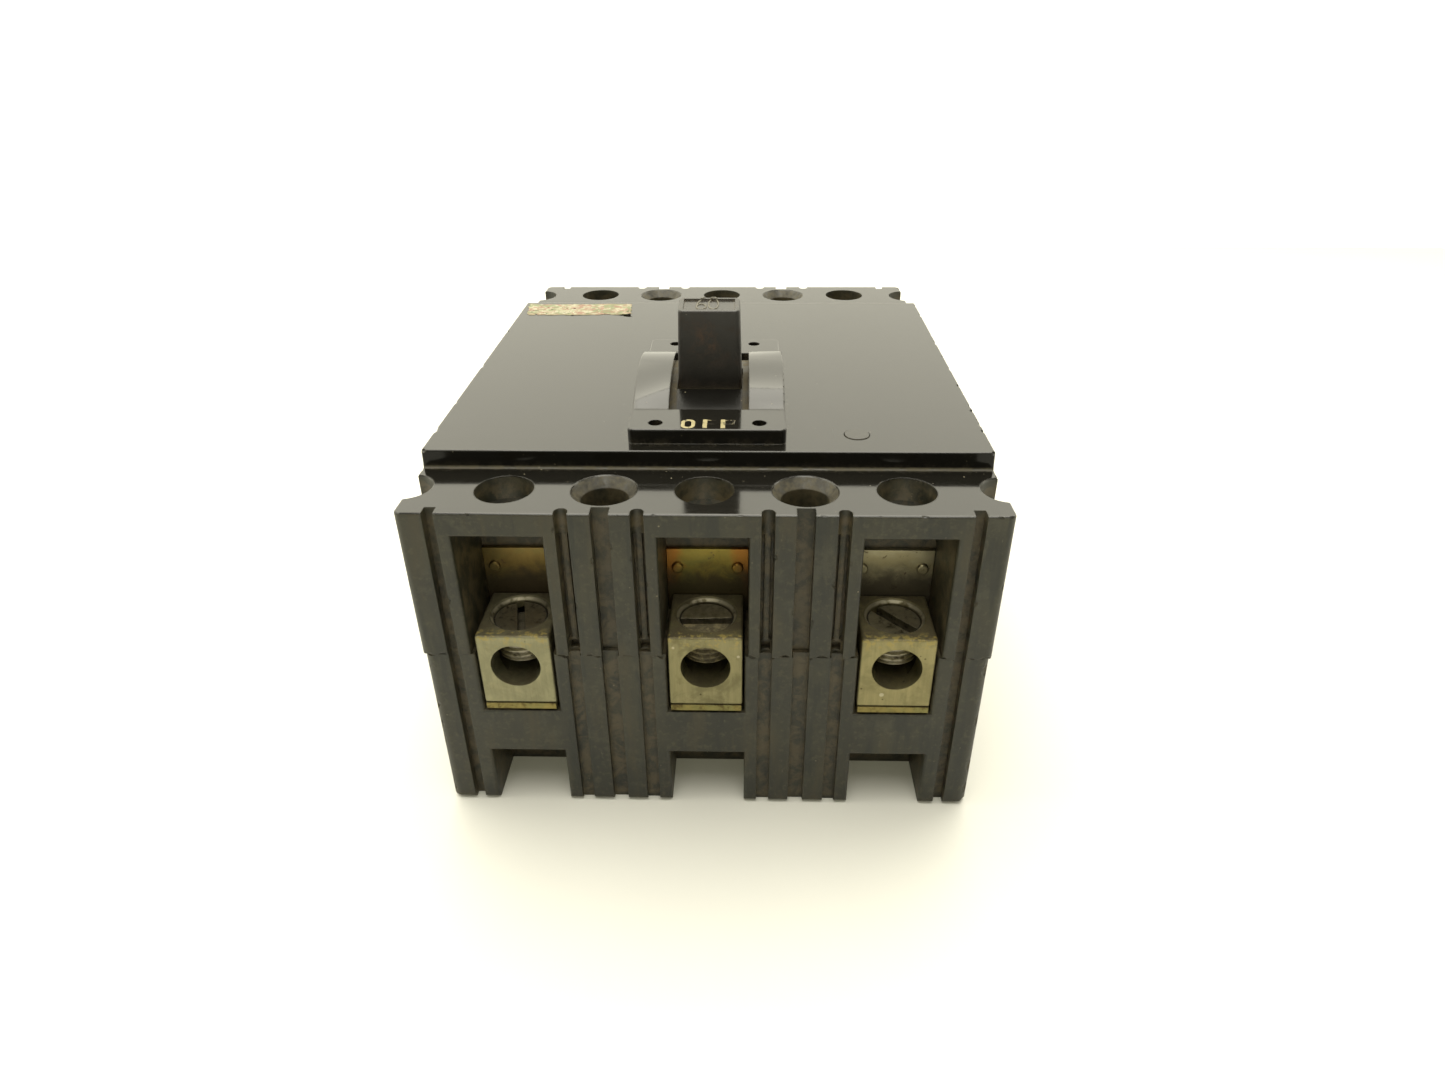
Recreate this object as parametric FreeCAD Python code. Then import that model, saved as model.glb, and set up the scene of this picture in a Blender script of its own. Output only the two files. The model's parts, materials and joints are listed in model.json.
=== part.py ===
import FreeCAD, Part
import math
import os

# Three-pole molded case circuit breaker, millimetres, with its handle in the tripped position.
# Frame: +Z up out of the mounting surface, +X across the poles,
# -Y the load (OFF) end, +Y the line (ON) end. Origin: centre of the base's underside.
# Points of the mechanism are (y, z) pairs. "_HW" is a half-width, "_R" a radius.

V = FreeCAD.Vector
os.makedirs("parts", exist_ok=True)

# ---------------------------------------------------------------- driving dimensions
LENGTH = 152.4              # overall, along Y
WIDTH = 113.0               # of the cover
BASE_WIDTH = WIDTH - 2 * 0.3    # the base is set back from the cover on each side
COVER_END = LENGTH / 2      # |y| of the cover's end faces
BASE_END = COVER_END - 0.25     # |y| of the base's end faces
PITCH = 38.1                # pole pitch
POLES = {"left": -PITCH, "centre": 0.0, "right": PITCH}
SIDES = (-1, 1)

Z_SPLIT = 39.9              # parting plane of base and cover
COVER_Z0 = Z_SPLIT + 0.02   # underside of the cover
Z_LEDGE = 72.0              # cover's end ledges
Z_COVER = 75.8              # top of the cover's raised block
BASE_FLOOR = 6.0            # floor of the pole chambers
CHAMBERS = ((-17.3, 17.3), (-53.6, -20.8), (20.8, 53.6))    # x0, x1 of each pole chamber
CHAMBER_END = 56.0          # |y| of the chambers' end walls

POCKET_IN = 58.6            # |y| of the back of the terminal pockets
BASE_POCKET_HW = 7.8
COVER_POCKET_HW = 8.5
POCKET_TOP = 67.1
SHELF_Z0, SHELF_Z1 = 14.5, 25.3     # shelf that closes the bottom of each pocket
HOLE_Y = 66.5               # |y| of the mounting and lug screw access holes
ACCESS_R = 5.65             # lug screw access hole
MOUNT_R = 2.6               # mounting screw hole
COUNTERSINK_R = 6.4
CASE_SCREW_AT = [(side * PITCH / 2, y) for side in SIDES for y in (-52.2, 50.0)]    # x, y

HUB_Y, HUB_Z = HUB = (-26.0, 48.2)          # handle axis
HANDLE_TIP_R = 49.9
HANDLE_REST = 7.5           # degrees from vertical towards OFF
BAR_Y, BAR_Z = BAR = (-30.0, 27.0)          # crossbar axis
BAR_R = 7.5
JOURNAL_R = 5.0             # crossbar ends
ARM_REST = 10.3125          # contact arm opening, degrees from closed
TRIP_Y, TRIP_Z = TRIP = (-44.0, 60.0)       # trip bar axis
TRIP_R = 3.0
CRADLE_Y, CRADLE_Z = CRADLE = (-2.0, 58.0)  # cradle pivot
PIN_R = 1.5                 # pins of the mechanism, except the knee pin
KNEE_PIN_R = 1.6
BUTTON_X, BUTTON_Y, BUTTON_R = 30.2, -49.0, 2.5     # push-to-trip button


# ---------------------------------------------------------------- helpers
def box(x0, x1, y0, y1, z0, z1):
    """A box between three pairs of planes, each pair in either order."""
    x0, x1 = sorted((x0, x1))
    y0, y1 = sorted((y0, y1))
    return Part.makeBox(x1 - x0, y1 - y0, z1 - z0, V(x0, y0, z0))


def along(edge, axis):
    """Whether an edge runs along the axis "x", "y" or "z"."""
    run = edge.Vertexes[-1].Point - edge.Vertexes[0].Point
    if run.Length < 1e-6:
        return False
    return abs(abs(getattr(run, axis)) - run.Length) < 1e-5


def round_box(x0, x1, y0, y1, z0, z1, radius):
    """A box with its four vertical edges rounded."""
    block = box(x0, x1, y0, y1, z0, z1)
    return block.makeFillet(radius, [e for e in block.Edges if along(e, "z")])


def cyl_x(x0, x1, y, z, radius):
    x0, x1 = sorted((x0, x1))
    return Part.makeCylinder(radius, x1 - x0, V(x0, y, z), V(1, 0, 0))


def cyl_y(y0, y1, x, z, radius):
    return Part.makeCylinder(radius, y1 - y0, V(x, y0, z), V(0, 1, 0))


def cyl_z(z0, z1, x, y, radius):
    return Part.makeCylinder(radius, z1 - z0, V(x, y, z0), V(0, 0, 1))


def prism(corners, direction):
    return Part.Face(Part.makePolygon(corners + corners[:1])).extrude(direction)


def plate_x(x0, x1, outline):
    """A plate between two X planes, in either order, with a (y, z) outline."""
    x0, x1 = sorted((x0, x1))
    return prism([V(x0, y, z) for y, z in outline], V(x1 - x0, 0, 0))


def plate_z(z0, z1, outline):
    """A plate between two Z planes with an (x, y) outline."""
    return prism([V(x, y, z0) for x, y in outline], V(0, 0, z1 - z0))


def link(x0, x1, start, end, radius, start_hole, end_hole):
    """Flat round-ended link between two (y, z) points, with holes of the given radii or none."""
    dy, dz = end[0] - start[0], end[1] - start[1]
    length = math.hypot(dy, dz)
    oy, oz = -dz / length * radius, dy / length * radius
    body = plate_x(x0, x1, [(start[0] + oy, start[1] + oz), (end[0] + oy, end[1] + oz),
                            (end[0] - oy, end[1] - oz), (start[0] - oy, start[1] - oz)])
    body = body.fuse([cyl_x(x0, x1, *start, radius), cyl_x(x0, x1, *end, radius)])
    x0, x1 = sorted((x0, x1))
    holes = [cyl_x(x0 - 1, x1 + 1, *point, hole)
             for point, hole in ((start, start_hole), (end, end_hole)) if hole]
    return body.cut(holes).removeSplitter()


def turned(shape, pivot, degrees):
    """A copy turned about the X line through a (y, z) pivot."""
    copy = shape.copy()
    copy.rotate(V(0, *pivot), V(1, 0, 0), degrees)
    return copy


def turned_point(point, pivot, degrees):
    angle = math.radians(degrees)
    dy, dz = point[0] - pivot[0], point[1] - pivot[1]
    return (pivot[0] + dy * math.cos(angle) - dz * math.sin(angle),
            pivot[1] + dy * math.sin(angle) + dz * math.cos(angle))


def coil(start, end, radius, wire_radius, turns):
    """Helical spring between two points."""
    run = end - start
    length = run.Length
    helix = Part.makeHelix(length / turns, length, radius)
    tangent = V(0, 1, length / turns / (2 * math.pi * radius))
    profile = Part.Wire([Part.makeCircle(wire_radius, V(radius, 0, 0), tangent)])
    spring = Part.Wire(helix).makePipeShell([profile], True, True)
    spring = spring.Solids[0] if spring.Solids else Part.Solid(Part.Shell(spring.Faces))
    if spring.Volume < 0:
        spring.reverse()
    spring.Placement = FreeCAD.Placement(start, FreeCAD.Rotation(V(0, 0, 1), run))
    return spring


def one(shape):
    """The largest solid of a shape, with split faces merged."""
    return max(shape.removeSplitter().Solids, key=lambda solid: solid.Volume)


def group(shapes):
    return Part.makeCompound([solid for shape in shapes for solid in shape.Solids])


def save(node, shape):
    shape.exportStep("parts/" + node + ".step")


def soften(shape, pick, sizes, chamfer=False):
    """Round or chamfer the picked edges with the first size that works, or leave them sharp."""
    edges = [e for e in shape.Edges if pick(e)]
    for size in sizes:
        # the kernel can refuse a size, or an empty list of edges
        try:
            cut = shape.makeChamfer(size, edges) if chamfer else shape.makeFillet(size, edges)
            small_change = abs(cut.Volume - shape.Volume) < 0.05 * shape.Volume
            if cut.isValid() and len(cut.Solids) == 1 and small_change:
                return cut
        except Exception:
            pass
    return shape


# Edge pickers for soften
def every_edge(edge):
    return True


def at_height(z, tolerance=1e-6):
    """Edges whose lowest point is at z."""
    return lambda edge: abs(edge.BoundBox.ZMin - z) < tolerance


def pocket_jambs(end, half_width):
    """Upright edges of the pocket mouths in the end faces at |y| = end."""
    def pick(edge):
        b = edge.BoundBox
        off_jamb = min(abs(abs(b.XMin - x) - half_width) for x in POLES.values())
        return (along(edge, "z") and abs(abs(b.YMin) - end) < 1e-3
                and b.ZLength > 8 and off_jamb < 0.01)
    return pick


def pocket_lips(end, heights):
    """Long X edges at the given heights in the end faces at |y| = end."""
    def pick(edge):
        b = edge.BoundBox
        return (along(edge, "x") and edge.Length > 15 and abs(abs(b.YMin) - end) < 1e-3
                and any(abs(b.ZMin - z) < 1e-3 for z in heights))
    return pick


# ---------------------------------------------------------------- housing
BASE_GROOVES = ((10.5, 13.2, 1.7), (17.4, 20.6, 1.9), (24.9, 27.5, 1.7))    # |x0|, |x1|, depth
COVER_GROOVE_X = (11.95, 25.85)     # |x| of the narrow cover grooves
COVER_GROOVE_R = 1.25
COVER_GROOVE_DEPTH = 2.3
CASE_BOSS_R = 3.6
HUMP_HW = 15.8              # half-width of the handle hump and of the plates at its ends
HUMP_R, HUMP_INNER_R = 35.2, 33.6
PLATE_TOP = 78.9            # top of the plates at the two ends of the hump


def end_groove(x0, x1, end, depth, z0, z1):
    """A vertical groove let into the end face on the given side."""
    return box(x0, x1, end * (COVER_END + 3), end * (COVER_END - depth), z0, z1)


def cover_groove(x, end, z0, z1):
    """A round-backed groove with two thin slots and a short notch in its back."""
    radius, depth = COVER_GROOVE_R, COVER_GROOVE_DEPTH
    cuts = [end_groove(x - radius, x + radius, end, depth - radius, z0, z1),
            cyl_z(z0, z1, x, end * (COVER_END - depth + radius), radius)]
    for offset in (-0.85, 0.85):
        slot_x = x + offset
        cuts.append(end_groove(slot_x - 0.3, slot_x + 0.3, end, depth + 0.9, 43.0, 67.0))
    cuts.append(end_groove(x - 0.9, x + 0.9, end, depth + 1.2, 40.6, 42.4))
    return cuts


def end_cuts(in_base):
    """Grooves, side notches, holes and terminal pockets at both ends of the base or cover."""
    z0, z1 = (-1, Z_SPLIT + 1) if in_base else (Z_SPLIT - 1, Z_LEDGE + 1)
    cuts = []
    for end in SIDES:
        hole_y, outside = end * HOLE_Y, end * (COVER_END + 3)
        for side in SIDES:
            cuts.append(end_groove(side * 49.0, side * 51.2, end, 2.4, z0, z1))
            if in_base:
                for a, b, depth in BASE_GROOVES:
                    cuts.append(end_groove(side * a, side * b, end, depth, z0, z1))
            else:
                for x in COVER_GROOVE_X:
                    cuts += cover_groove(side * x, end, z0, z1)
                cuts.append(end_groove(side * 17.1, side * 20.5, end, 2.8, z0, z1))
            # part-round notch for a fixing shared with a neighbour
            cuts.append(cyl_z(z0, z1, side * 57.2, end * 65.6, 5.2))
            # mounting hole, counterbored and countersunk in the cover
            hole_x = side * PITCH / 2
            cuts.append(cyl_z(z0, z1, hole_x, hole_y, MOUNT_R))
            if not in_base:
                cuts += [
                    cyl_z(47.0, z1, hole_x, hole_y, 4.6),
                    Part.makeCone(4.6, COUNTERSINK_R, 2.0, V(hole_x, hole_y, Z_LEDGE - 2.0)),
                    cyl_z(Z_LEDGE - 0.01, Z_LEDGE + 2, hole_x, hole_y, COUNTERSINK_R)]
        for x in POLES.values():
            if in_base:
                x0, x1 = x - BASE_POCKET_HW, x + BASE_POCKET_HW
                cuts += [
                    box(x0, x1, outside, end * POCKET_IN, SHELF_Z1, z1),
                    # recess under the shelf
                    box(x0, x1, outside, end * 62.8, z0, SHELF_Z0),
                    # terminal strap slot into the pole chamber
                    box(x - 7.35, x + 7.35, end * (POCKET_IN + 1), end * 55.0, 25.9, 27.55)]
            else:
                x0, x1 = x - COVER_POCKET_HW, x + COVER_POCKET_HW
                cuts.append(box(x0, x1, outside, end * POCKET_IN, z0, POCKET_TOP))
                cuts.append(cyl_z(POCKET_TOP - 1, z1, x, hole_y, ACCESS_R))
    return cuts


def barrier_cuts():
    """Openings in the two walls between poles for the crossbar and the trip bar."""
    bar_r, trip_r = BAR_R + 0.6, TRIP_R + 0.5
    cuts = []
    for side in SIDES:
        a, b = side * 17.0, side * 21.1
        cuts += [cyl_x(a, b, *BAR, bar_r),
                 box(a, b, BAR_Y - bar_r, BAR_Y + bar_r, BAR_Z, Z_SPLIT + 0.5),
                 cyl_x(a, b, *TRIP, trip_r),
                 box(a, b, TRIP_Y - trip_r, TRIP_Y + trip_r, Z_SPLIT - 0.5, TRIP_Z)]
    return cuts


def make_base():
    half = BASE_WIDTH / 2
    base = round_box(-half, half, -BASE_END, BASE_END, 0, Z_SPLIT, 2.0)
    base = soften(base, lambda e: abs(e.BoundBox.ZMax) < 1e-6, (1.0, 0.7), chamfer=True)
    base = base.cut(end_cuts(True) + [
        box(x0, x1, -CHAMBER_END, CHAMBER_END, BASE_FLOOR, Z_SPLIT + 1) for x0, x1 in CHAMBERS])
    # screw bosses stand in the walls between poles
    base = base.fuse([cyl_z(5.5, Z_SPLIT, x, y, CASE_BOSS_R) for x, y in CASE_SCREW_AT])
    # bearing saddles for the crossbar ends, in the side walls
    for side in SIDES:
        base = base.fuse(box(side * 50.6, side * 54.0, BAR_Y - 11, BAR_Y + 11, 5.5, BAR_Z))
    cuts = barrier_cuts()
    for x, y in CASE_SCREW_AT:
        cuts.append(cyl_z(-1, Z_SPLIT + 1, x, y, 1.75))
        cuts.append(cyl_z(-1, 4.0, x, y, 3.3))
    bearing_r = JOURNAL_R + 0.05
    for side in SIDES:
        a, b = side * 50.4, side * 52.7
        cuts.append(cyl_x(a, b, *BAR, bearing_r))
        cuts.append(box(a, b, BAR_Y - bearing_r, BAR_Y + bearing_r, BAR_Z, Z_SPLIT + 1))
    base = base.cut(cuts)
    base = soften(base, pocket_jambs(BASE_END, BASE_POCKET_HW), (0.8, 0.5, 0.3))
    base = soften(base, pocket_lips(BASE_END, (SHELF_Z1, SHELF_Z0)), (0.4, 0.25))
    return one(base)


def raised_block():
    """The block that rises above the cover's ledges, and the fillets at its two ends."""
    y0, y1 = -57.3, 44.7
    top = 112.5 / 2
    foot = top + 0.24
    z0 = Z_LEDGE - 2
    block = prism([V(-foot, y0, z0), V(foot, y0, z0), V(top, y0, Z_COVER), V(-top, y0, Z_COVER)],
                  V(0, y1 - y0, 0))

    def end_side_edge(edge):
        b = edge.BoundBox
        return b.ZLength > 5 and b.YLength < 1e-6 and b.XLength < 1

    block = soften(block, end_side_edge, (0.4, 0.25))
    block = soften(block, at_height(Z_COVER), (0.3, 0.2))
    root = 0.6
    fillets = []
    for y, out in ((y0, -1), (y1, 1)):
        web = box(-top, top, y, y + out * root, Z_LEDGE - 0.5, Z_LEDGE + root)
        fillets.append(web.cut(cyl_x(-top - 1, top + 1, y + out * root, Z_LEDGE + root, root)))
    return block, fillets


def handle_hump():
    """Raised plates at the load and line ends of the handle hump, then the hump."""
    parts = []
    for y0, y1 in ((-53.86, -40.0), (-12.0, 1.9)):
        plate = round_box(-HUMP_HW, HUMP_HW, y0, y1, Z_COVER - 1, PLATE_TOP, 1.31)
        parts.append(soften(plate, at_height(PLATE_TOP), (0.35, 0.2)))
    hump = soften(cyl_x(-HUMP_HW, HUMP_HW, *HUB, HUMP_R), every_edge, (0.3,))
    parts.append(hump.common(box(-20, 20, -60, 10, Z_COVER - 1, 90)))
    return parts


def ledge_hole_rim(edge):
    """Rims of the access and countersunk holes in the ledges."""
    b = edge.BoundBox
    return (hasattr(edge.Curve, "Radius")
            and abs(b.ZMin - Z_LEDGE) < 1e-3 and abs(b.ZMax - Z_LEDGE) < 1e-3
            and min(abs(edge.Curve.Radius - r) for r in (ACCESS_R, COUNTERSINK_R)) < 0.02)


def make_cover():
    half = WIDTH / 2
    ledge = round_box(-half, half, -COVER_END, COVER_END, COVER_Z0, Z_LEDGE, 1.6)
    ledge = soften(ledge, at_height(Z_LEDGE), (0.5, 0.3))
    block, fillets = raised_block()
    cover = ledge.fuse(block)
    for fillet in fillets:
        cover = cover.fuse(fillet)
    cover = cover.fuse(handle_hump())
    cuts = end_cuts(False)
    for x0, x1 in CHAMBERS:
        # the chamber roof steps down towards the line end
        cuts.append(box(x0, x1, -CHAMBER_END, 42.0, Z_SPLIT - 1, 72.3))
        cuts.append(box(x0, x1, 41.0, CHAMBER_END, Z_SPLIT - 1, 68.6))
    # relief in the end wall of the middle chamber for the edge of the dust shield
    cuts.append(box(-14.4, 14.4, -57.8, -55.9, 54.0, 68.0))
    # inside of the hump, and the handle slot
    cuts.append(cyl_x(-14.6, 14.6, *HUB, HUMP_INNER_R).common(box(-15, 15, -57.8, 20, 40, 90)))
    cuts.append(box(-8.3, 8.3, -43.55, -8.4, 60, 90))
    cover = cover.cut(cuts)
    cover = cover.fuse([cyl_z(COVER_Z0, 70.0, x, y, CASE_BOSS_R) for x, y in CASE_SCREW_AT])
    cuts = barrier_cuts()
    cuts += [cyl_z(Z_SPLIT - 1, 62.0, x, y, 1.5) for x, y in CASE_SCREW_AT]
    # accessory screw holes in the raised plates
    for side in SIDES:
        cuts.append(cyl_z(74.8, 80, side * 10.4, -50.5, 1.45))
        cuts.append(cyl_z(74.8, 80, side * 9.6, -1.6, 1.4))
    cuts.append(cyl_z(70, 80, BUTTON_X, BUTTON_Y, BUTTON_R + 0.15))
    cover = cover.cut(cuts)
    cover = soften(cover, pocket_jambs(COVER_END, COVER_POCKET_HW), (0.6, 0.4, 0.3))
    cover = soften(cover, pocket_lips(COVER_END, (POCKET_TOP,)), (0.4, 0.25))
    cover = soften(cover, ledge_hole_rim, (0.35, 0.2))
    return one(cover)


def case_screw(x, y):
    """Slotted screw that holds the cover to the base, from below."""
    head = cyl_z(1.0, 3.95, x, y, 3.0).cut(box(x - 3.2, x + 3.2, y - 0.5, y + 0.5, 0.5, 2.1))
    return one(head.fuse(cyl_z(3.9, 58.0, x, y, 1.45)))


save("base", make_base())
save("cover", make_cover())
save("case_screws", group([case_screw(x, y) for x, y in CASE_SCREW_AT]))

# ---------------------------------------------------------------- terminals
LUG_HW = 7.4
LUG_Y0, LUG_Y1 = 75.8, 60.0     # |y| of the outer and inner faces
LUG_Z0, LUG_Z1 = 27.5, 44.2
WIRE_R, WIRE_Z = 5.0, 36.9      # wire opening
SCREW_Y = 67.3                  # |y| of the clamping screws
SCREW_R = 5.5
SCREW_LENGTH = 7.7
# end: its side in Y, bottom of the lug's screw hole, bottom of the screw, slot angle by pole.
# The load screws are run down into the wire opening, the line screws backed out clear of it.
LUG_ENDS = {
    "load": (-1, 32.8, 35.4, {"left": 80.0, "centre": 2.0, "right": -48.0}),
    "line": (1, WIRE_Z, 42.1, {"left": 20.0, "centre": -35.0, "right": 65.0}),
}
STRAP_HW = 7.2
STRAP_Y = 75.9                  # |y| of the straps' outer ends
STRAP_Z0, STRAP_Z1 = 26.0, 27.4


def make_lug(x, end, hole_z):
    lug = box(x - LUG_HW, x + LUG_HW, end * LUG_Y0, end * LUG_Y1, LUG_Z0, LUG_Z1)
    lug = soften(lug, every_edge, (0.45,))
    y, hole_r = end * SCREW_Y, SCREW_R + 0.06
    return one(lug.cut([cyl_y(-90, 90, x, WIRE_Z, WIRE_R),
                        cyl_z(hole_z, LUG_Z1 + 1, x, y, hole_r),
                        Part.makeCone(hole_r, hole_r + 0.8, 0.8, V(x, y, LUG_Z1 - 0.8))]))


def make_lug_screw(x, y, z0, slot_angle):
    z1 = z0 + SCREW_LENGTH
    screw = soften(cyl_z(z0, z1, x, y, SCREW_R), every_edge, (0.3,), chamfer=True)
    slot = box(-7, 7, -0.85, 0.85, z1 - 1.6, z1 + 1)
    slot.rotate(V(0, 0, 0), V(0, 0, 1), slot_angle)
    slot.translate(V(x, y, 0))
    return one(screw.cut(slot))


def load_terminal(x):
    """Strap under the lug, through the wall, up to the bimetal."""
    strap = box(x - STRAP_HW, x + STRAP_HW, -STRAP_Y, -54.2, STRAP_Z0, STRAP_Z1)
    return one(strap.fuse([box(x - 4.4, x + 4.4, -54.3, -52.7, STRAP_Z0, STRAP_Z1),
                           box(x - 4.4, x + 4.4, -53.8, -52.7, STRAP_Z0, 44.0)]))


def line_terminal(x):
    """Strap under the lug, through the wall, down and along to the fixed contact."""
    strap = box(x - STRAP_HW, x + STRAP_HW, 52.4, STRAP_Y, STRAP_Z0, STRAP_Z1)
    return one(strap.fuse([box(x - STRAP_HW, x + STRAP_HW, 52.4, 54.0, 12.0, STRAP_Z1),
                           box(x - 5.0, x + 5.0, 22.0, 54.0, 12.0, 13.6)]))


def shield_plate(x):
    """Plated plate behind a load lug, with two rivet heads."""
    plate = box(x - 8.4, x + 8.4, -59.65, -58.65, 40.1, 54.9)
    head_y = -60.35
    for offset in (-6.2, 6.2):
        head = cyl_y(head_y, -59.2, x + offset, 50.6, 1.2)
        head = soften(head, lambda e: abs(e.BoundBox.YMax - head_y) < 1e-6, (0.35, 0.2))
        plate = plate.fuse(head)
    return one(plate)


for end_name, (end, hole_z, screw_z, slot_angles) in LUG_ENDS.items():
    for pole, pole_x in POLES.items():
        save(end_name + "_lug_" + pole, make_lug(pole_x, end, hole_z))
        save(end_name + "_lug_screw_" + pole,
             make_lug_screw(pole_x, end * SCREW_Y, screw_z, slot_angles[pole]))
for pole, pole_x in POLES.items():
    save("load_terminal_" + pole, load_terminal(pole_x))
    save("line_terminal_" + pole, line_terminal(pole_x))
    save("shield_plate_" + pole, shield_plate(pole_x))
save("fixed_contacts", group([round_box(x - 4, x + 4, 24.0, 32.0, 13.62, 15.6, 1.0)
                              for x in POLES.values()]))

# ---------------------------------------------------------------- contact system
# Drawn with the contacts closed, then opened about the crossbar axis.
ARM_OUTLINE = [             # y, z
    (-42.5, 24.6), (-42.5, 28.6), (-36.0, 30.2), (-20.0, 30.2), (25.0, 21.4),
    (32.0, 21.0), (32.0, 17.65), (23.0, 17.65), (-24.0, 23.8), (-36.0, 23.8)]
CONTACT_SPRING_Y = -23.2
LINK_FOOT_CLOSED = (-19.0, 33.0)    # lower link pivot on the crossbar


def opened(shape):
    return turned(shape, BAR, ARM_REST)


def contact_arm(x):
    arm = plate_x(x - 3.0, x + 3.0, ARM_OUTLINE)
    return one(opened(soften(arm, lambda e: along(e, "x"), (0.5, 0.3))))


def moving_contact(x):
    return opened(round_box(x - 3.4, x + 3.4, 24.5, 31.5, 15.65, 17.62, 0.8))


def contact_spring(x):
    y = CONTACT_SPRING_Y
    return opened(coil(V(x, y, 30.75), V(x, y, 33.6), radius=1.7, wire_radius=0.35, turns=3))


def make_crossbar():
    bar = cyl_x(-50.3, 50.3, *BAR, BAR_R)
    bar = bar.fuse([cyl_x(-52.6, -50.2, *BAR, JOURNAL_R), cyl_x(50.2, 52.6, *BAR, JOURNAL_R)])
    adds, cuts = [], []
    for x in POLES.values():
        # spring housing over each arm, with an arm slot and a spring well
        adds.append(box(x - 4.4, x + 4.4, BAR_Y, -14.5, 34.1, 36.0))
        adds.append(box(x - 4.4, x + 4.4, BAR_Y - 3.0, BAR_Y + 4.5, 31.0, 36.0))
        cuts.append(box(x - 3.15, x + 3.15, BAR_Y - 12, BAR_Y + 12, 23.4, 30.6))
        cuts.append(cyl_z(30.3, 34.05, x, CONTACT_SPRING_Y, 2.45))
    # two ears for the lower link pin
    foot_y, foot_z = LINK_FOOT_CLOSED
    for side in SIDES:
        adds.append(plate_x(side * 5.2, side * 8.4, [
            (BAR_Y, BAR_Z + 7.3), (foot_y - 1.5, foot_z + 3.2), (foot_y + 2.6, foot_z + 2.4),
            (foot_y + 3.0, foot_z - 2.0), (BAR_Y + 5.5, BAR_Z - 4.0)]))
    bar = bar.fuse(adds).cut(cuts).cut(cyl_x(-9, 9, foot_y, foot_z, PIN_R + 0.02))
    return one(opened(bar))


for pole, pole_x in POLES.items():
    save("contact_arm_" + pole, contact_arm(pole_x))
save("moving_contacts", group([moving_contact(x) for x in POLES.values()]))
save("contact_springs", group([contact_spring(x) for x in POLES.values()]))
save("crossbar", make_crossbar())

# ---------------------------------------------------------------- toggle linkage
LINK_LENGTH = 14.0                  # upper and lower links
LINK_HEAD = (-24.0, 60.0)           # upper link pivot on the cradle
LINK_FOOT = turned_point(LINK_FOOT_CLOSED, BAR, ARM_REST)


def find_knee():
    """The knee of the toggle, on the load side of the line from head to foot."""
    dy, dz = LINK_FOOT[0] - LINK_HEAD[0], LINK_FOOT[1] - LINK_HEAD[1]
    span = math.hypot(dy, dz)
    offset = math.sqrt(LINK_LENGTH ** 2 - (span / 2) ** 2)
    return (LINK_HEAD[0] + dy / 2 + dz / span * offset,
            LINK_HEAD[1] + dz / 2 - dy / span * offset)


KNEE = find_knee()


def upper_link(x0, x1):
    """An eye at the cradle and an open-ended fork that straddles the knee pin."""
    dy, dz = KNEE[0] - LINK_HEAD[0], KNEE[1] - LINK_HEAD[1]
    length = math.hypot(dy, dz)
    uy, uz = dy / length, dz / length

    def at(down, across):
        """The (y, z) point that far down the link and across it."""
        return (LINK_HEAD[0] + uy * down - uz * across, LINK_HEAD[1] + uz * down + uy * across)

    body = plate_x(x0, x1, [at(0, 2.8), at(length - 4, 5.0), at(length + 3.5, 5.0),
                            at(length + 3.5, -5.0), at(length - 4, -5.0), at(0, -2.8)])
    body = body.fuse(cyl_x(x0, x1, *LINK_HEAD, 2.8))
    fork = plate_x(x0 - 1, x1 + 1, [at(length - 4.2, 3.0), at(length + 6, 3.4),
                                    at(length + 6, -3.4), at(length - 4.2, -3.0)])
    return one(body.cut([fork, cyl_x(x0 - 1, x1 + 1, *LINK_HEAD, PIN_R + 0.03)]))


def make_cradle():
    cradle = plate_x(-2.0, 2.0, [
        (CRADLE_Y + 3, CRADLE_Z - 3.2), (CRADLE_Y + 3.2, CRADLE_Z + 3.0), (-20, 63.4),
        (-34, 62.6), (-39.8, 61.2), (-39.8, 58.6), (-34, 57.2), (-20, 56.2)])
    cradle = cradle.cut([cyl_x(-3, 3, *LINK_HEAD, PIN_R + 0.02),
                         cyl_x(-3, 3, *CRADLE, PIN_R + 0.05)])

    def outline_corner(edge):
        return along(edge, "x") and edge.Length > 3.9 and not hasattr(edge.Curve, "Radius")

    return one(soften(cradle, outline_corner, (0.6, 0.3)))


save("crossbar_link_pin", cyl_x(-10.0, 10.0, *LINK_FOOT, PIN_R))
save("lower_links", group([
    link(side * 8.8, side * 9.8, LINK_FOOT, KNEE, 3.0, PIN_R + 0.03, KNEE_PIN_R + 0.03)
    for side in (1, -1)]))
save("knee_pin", cyl_x(-9.8, 9.8, *KNEE, KNEE_PIN_R))
save("upper_links", group([upper_link(2.5, 3.5), upper_link(-3.5, -2.5)]))
save("cradle_link_pin", cyl_x(-3.6, 3.6, *LINK_HEAD, PIN_R))
save("cradle", make_cradle())

# ---------------------------------------------------------------- mechanism frame
FRAME_Z0 = BASE_FLOOR + 0.05
FRAME_PIN = (-38.0, 14.0)           # low pin across the side frames
FRAME_OUTLINE = [                   # y, z
    (-42, FRAME_Z0), (4.5, FRAME_Z0), (4.5, 42), (2.2, 61),
    (-6, 62.5), (-14, 56), (-34, 52), (-40, 44)]


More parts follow.
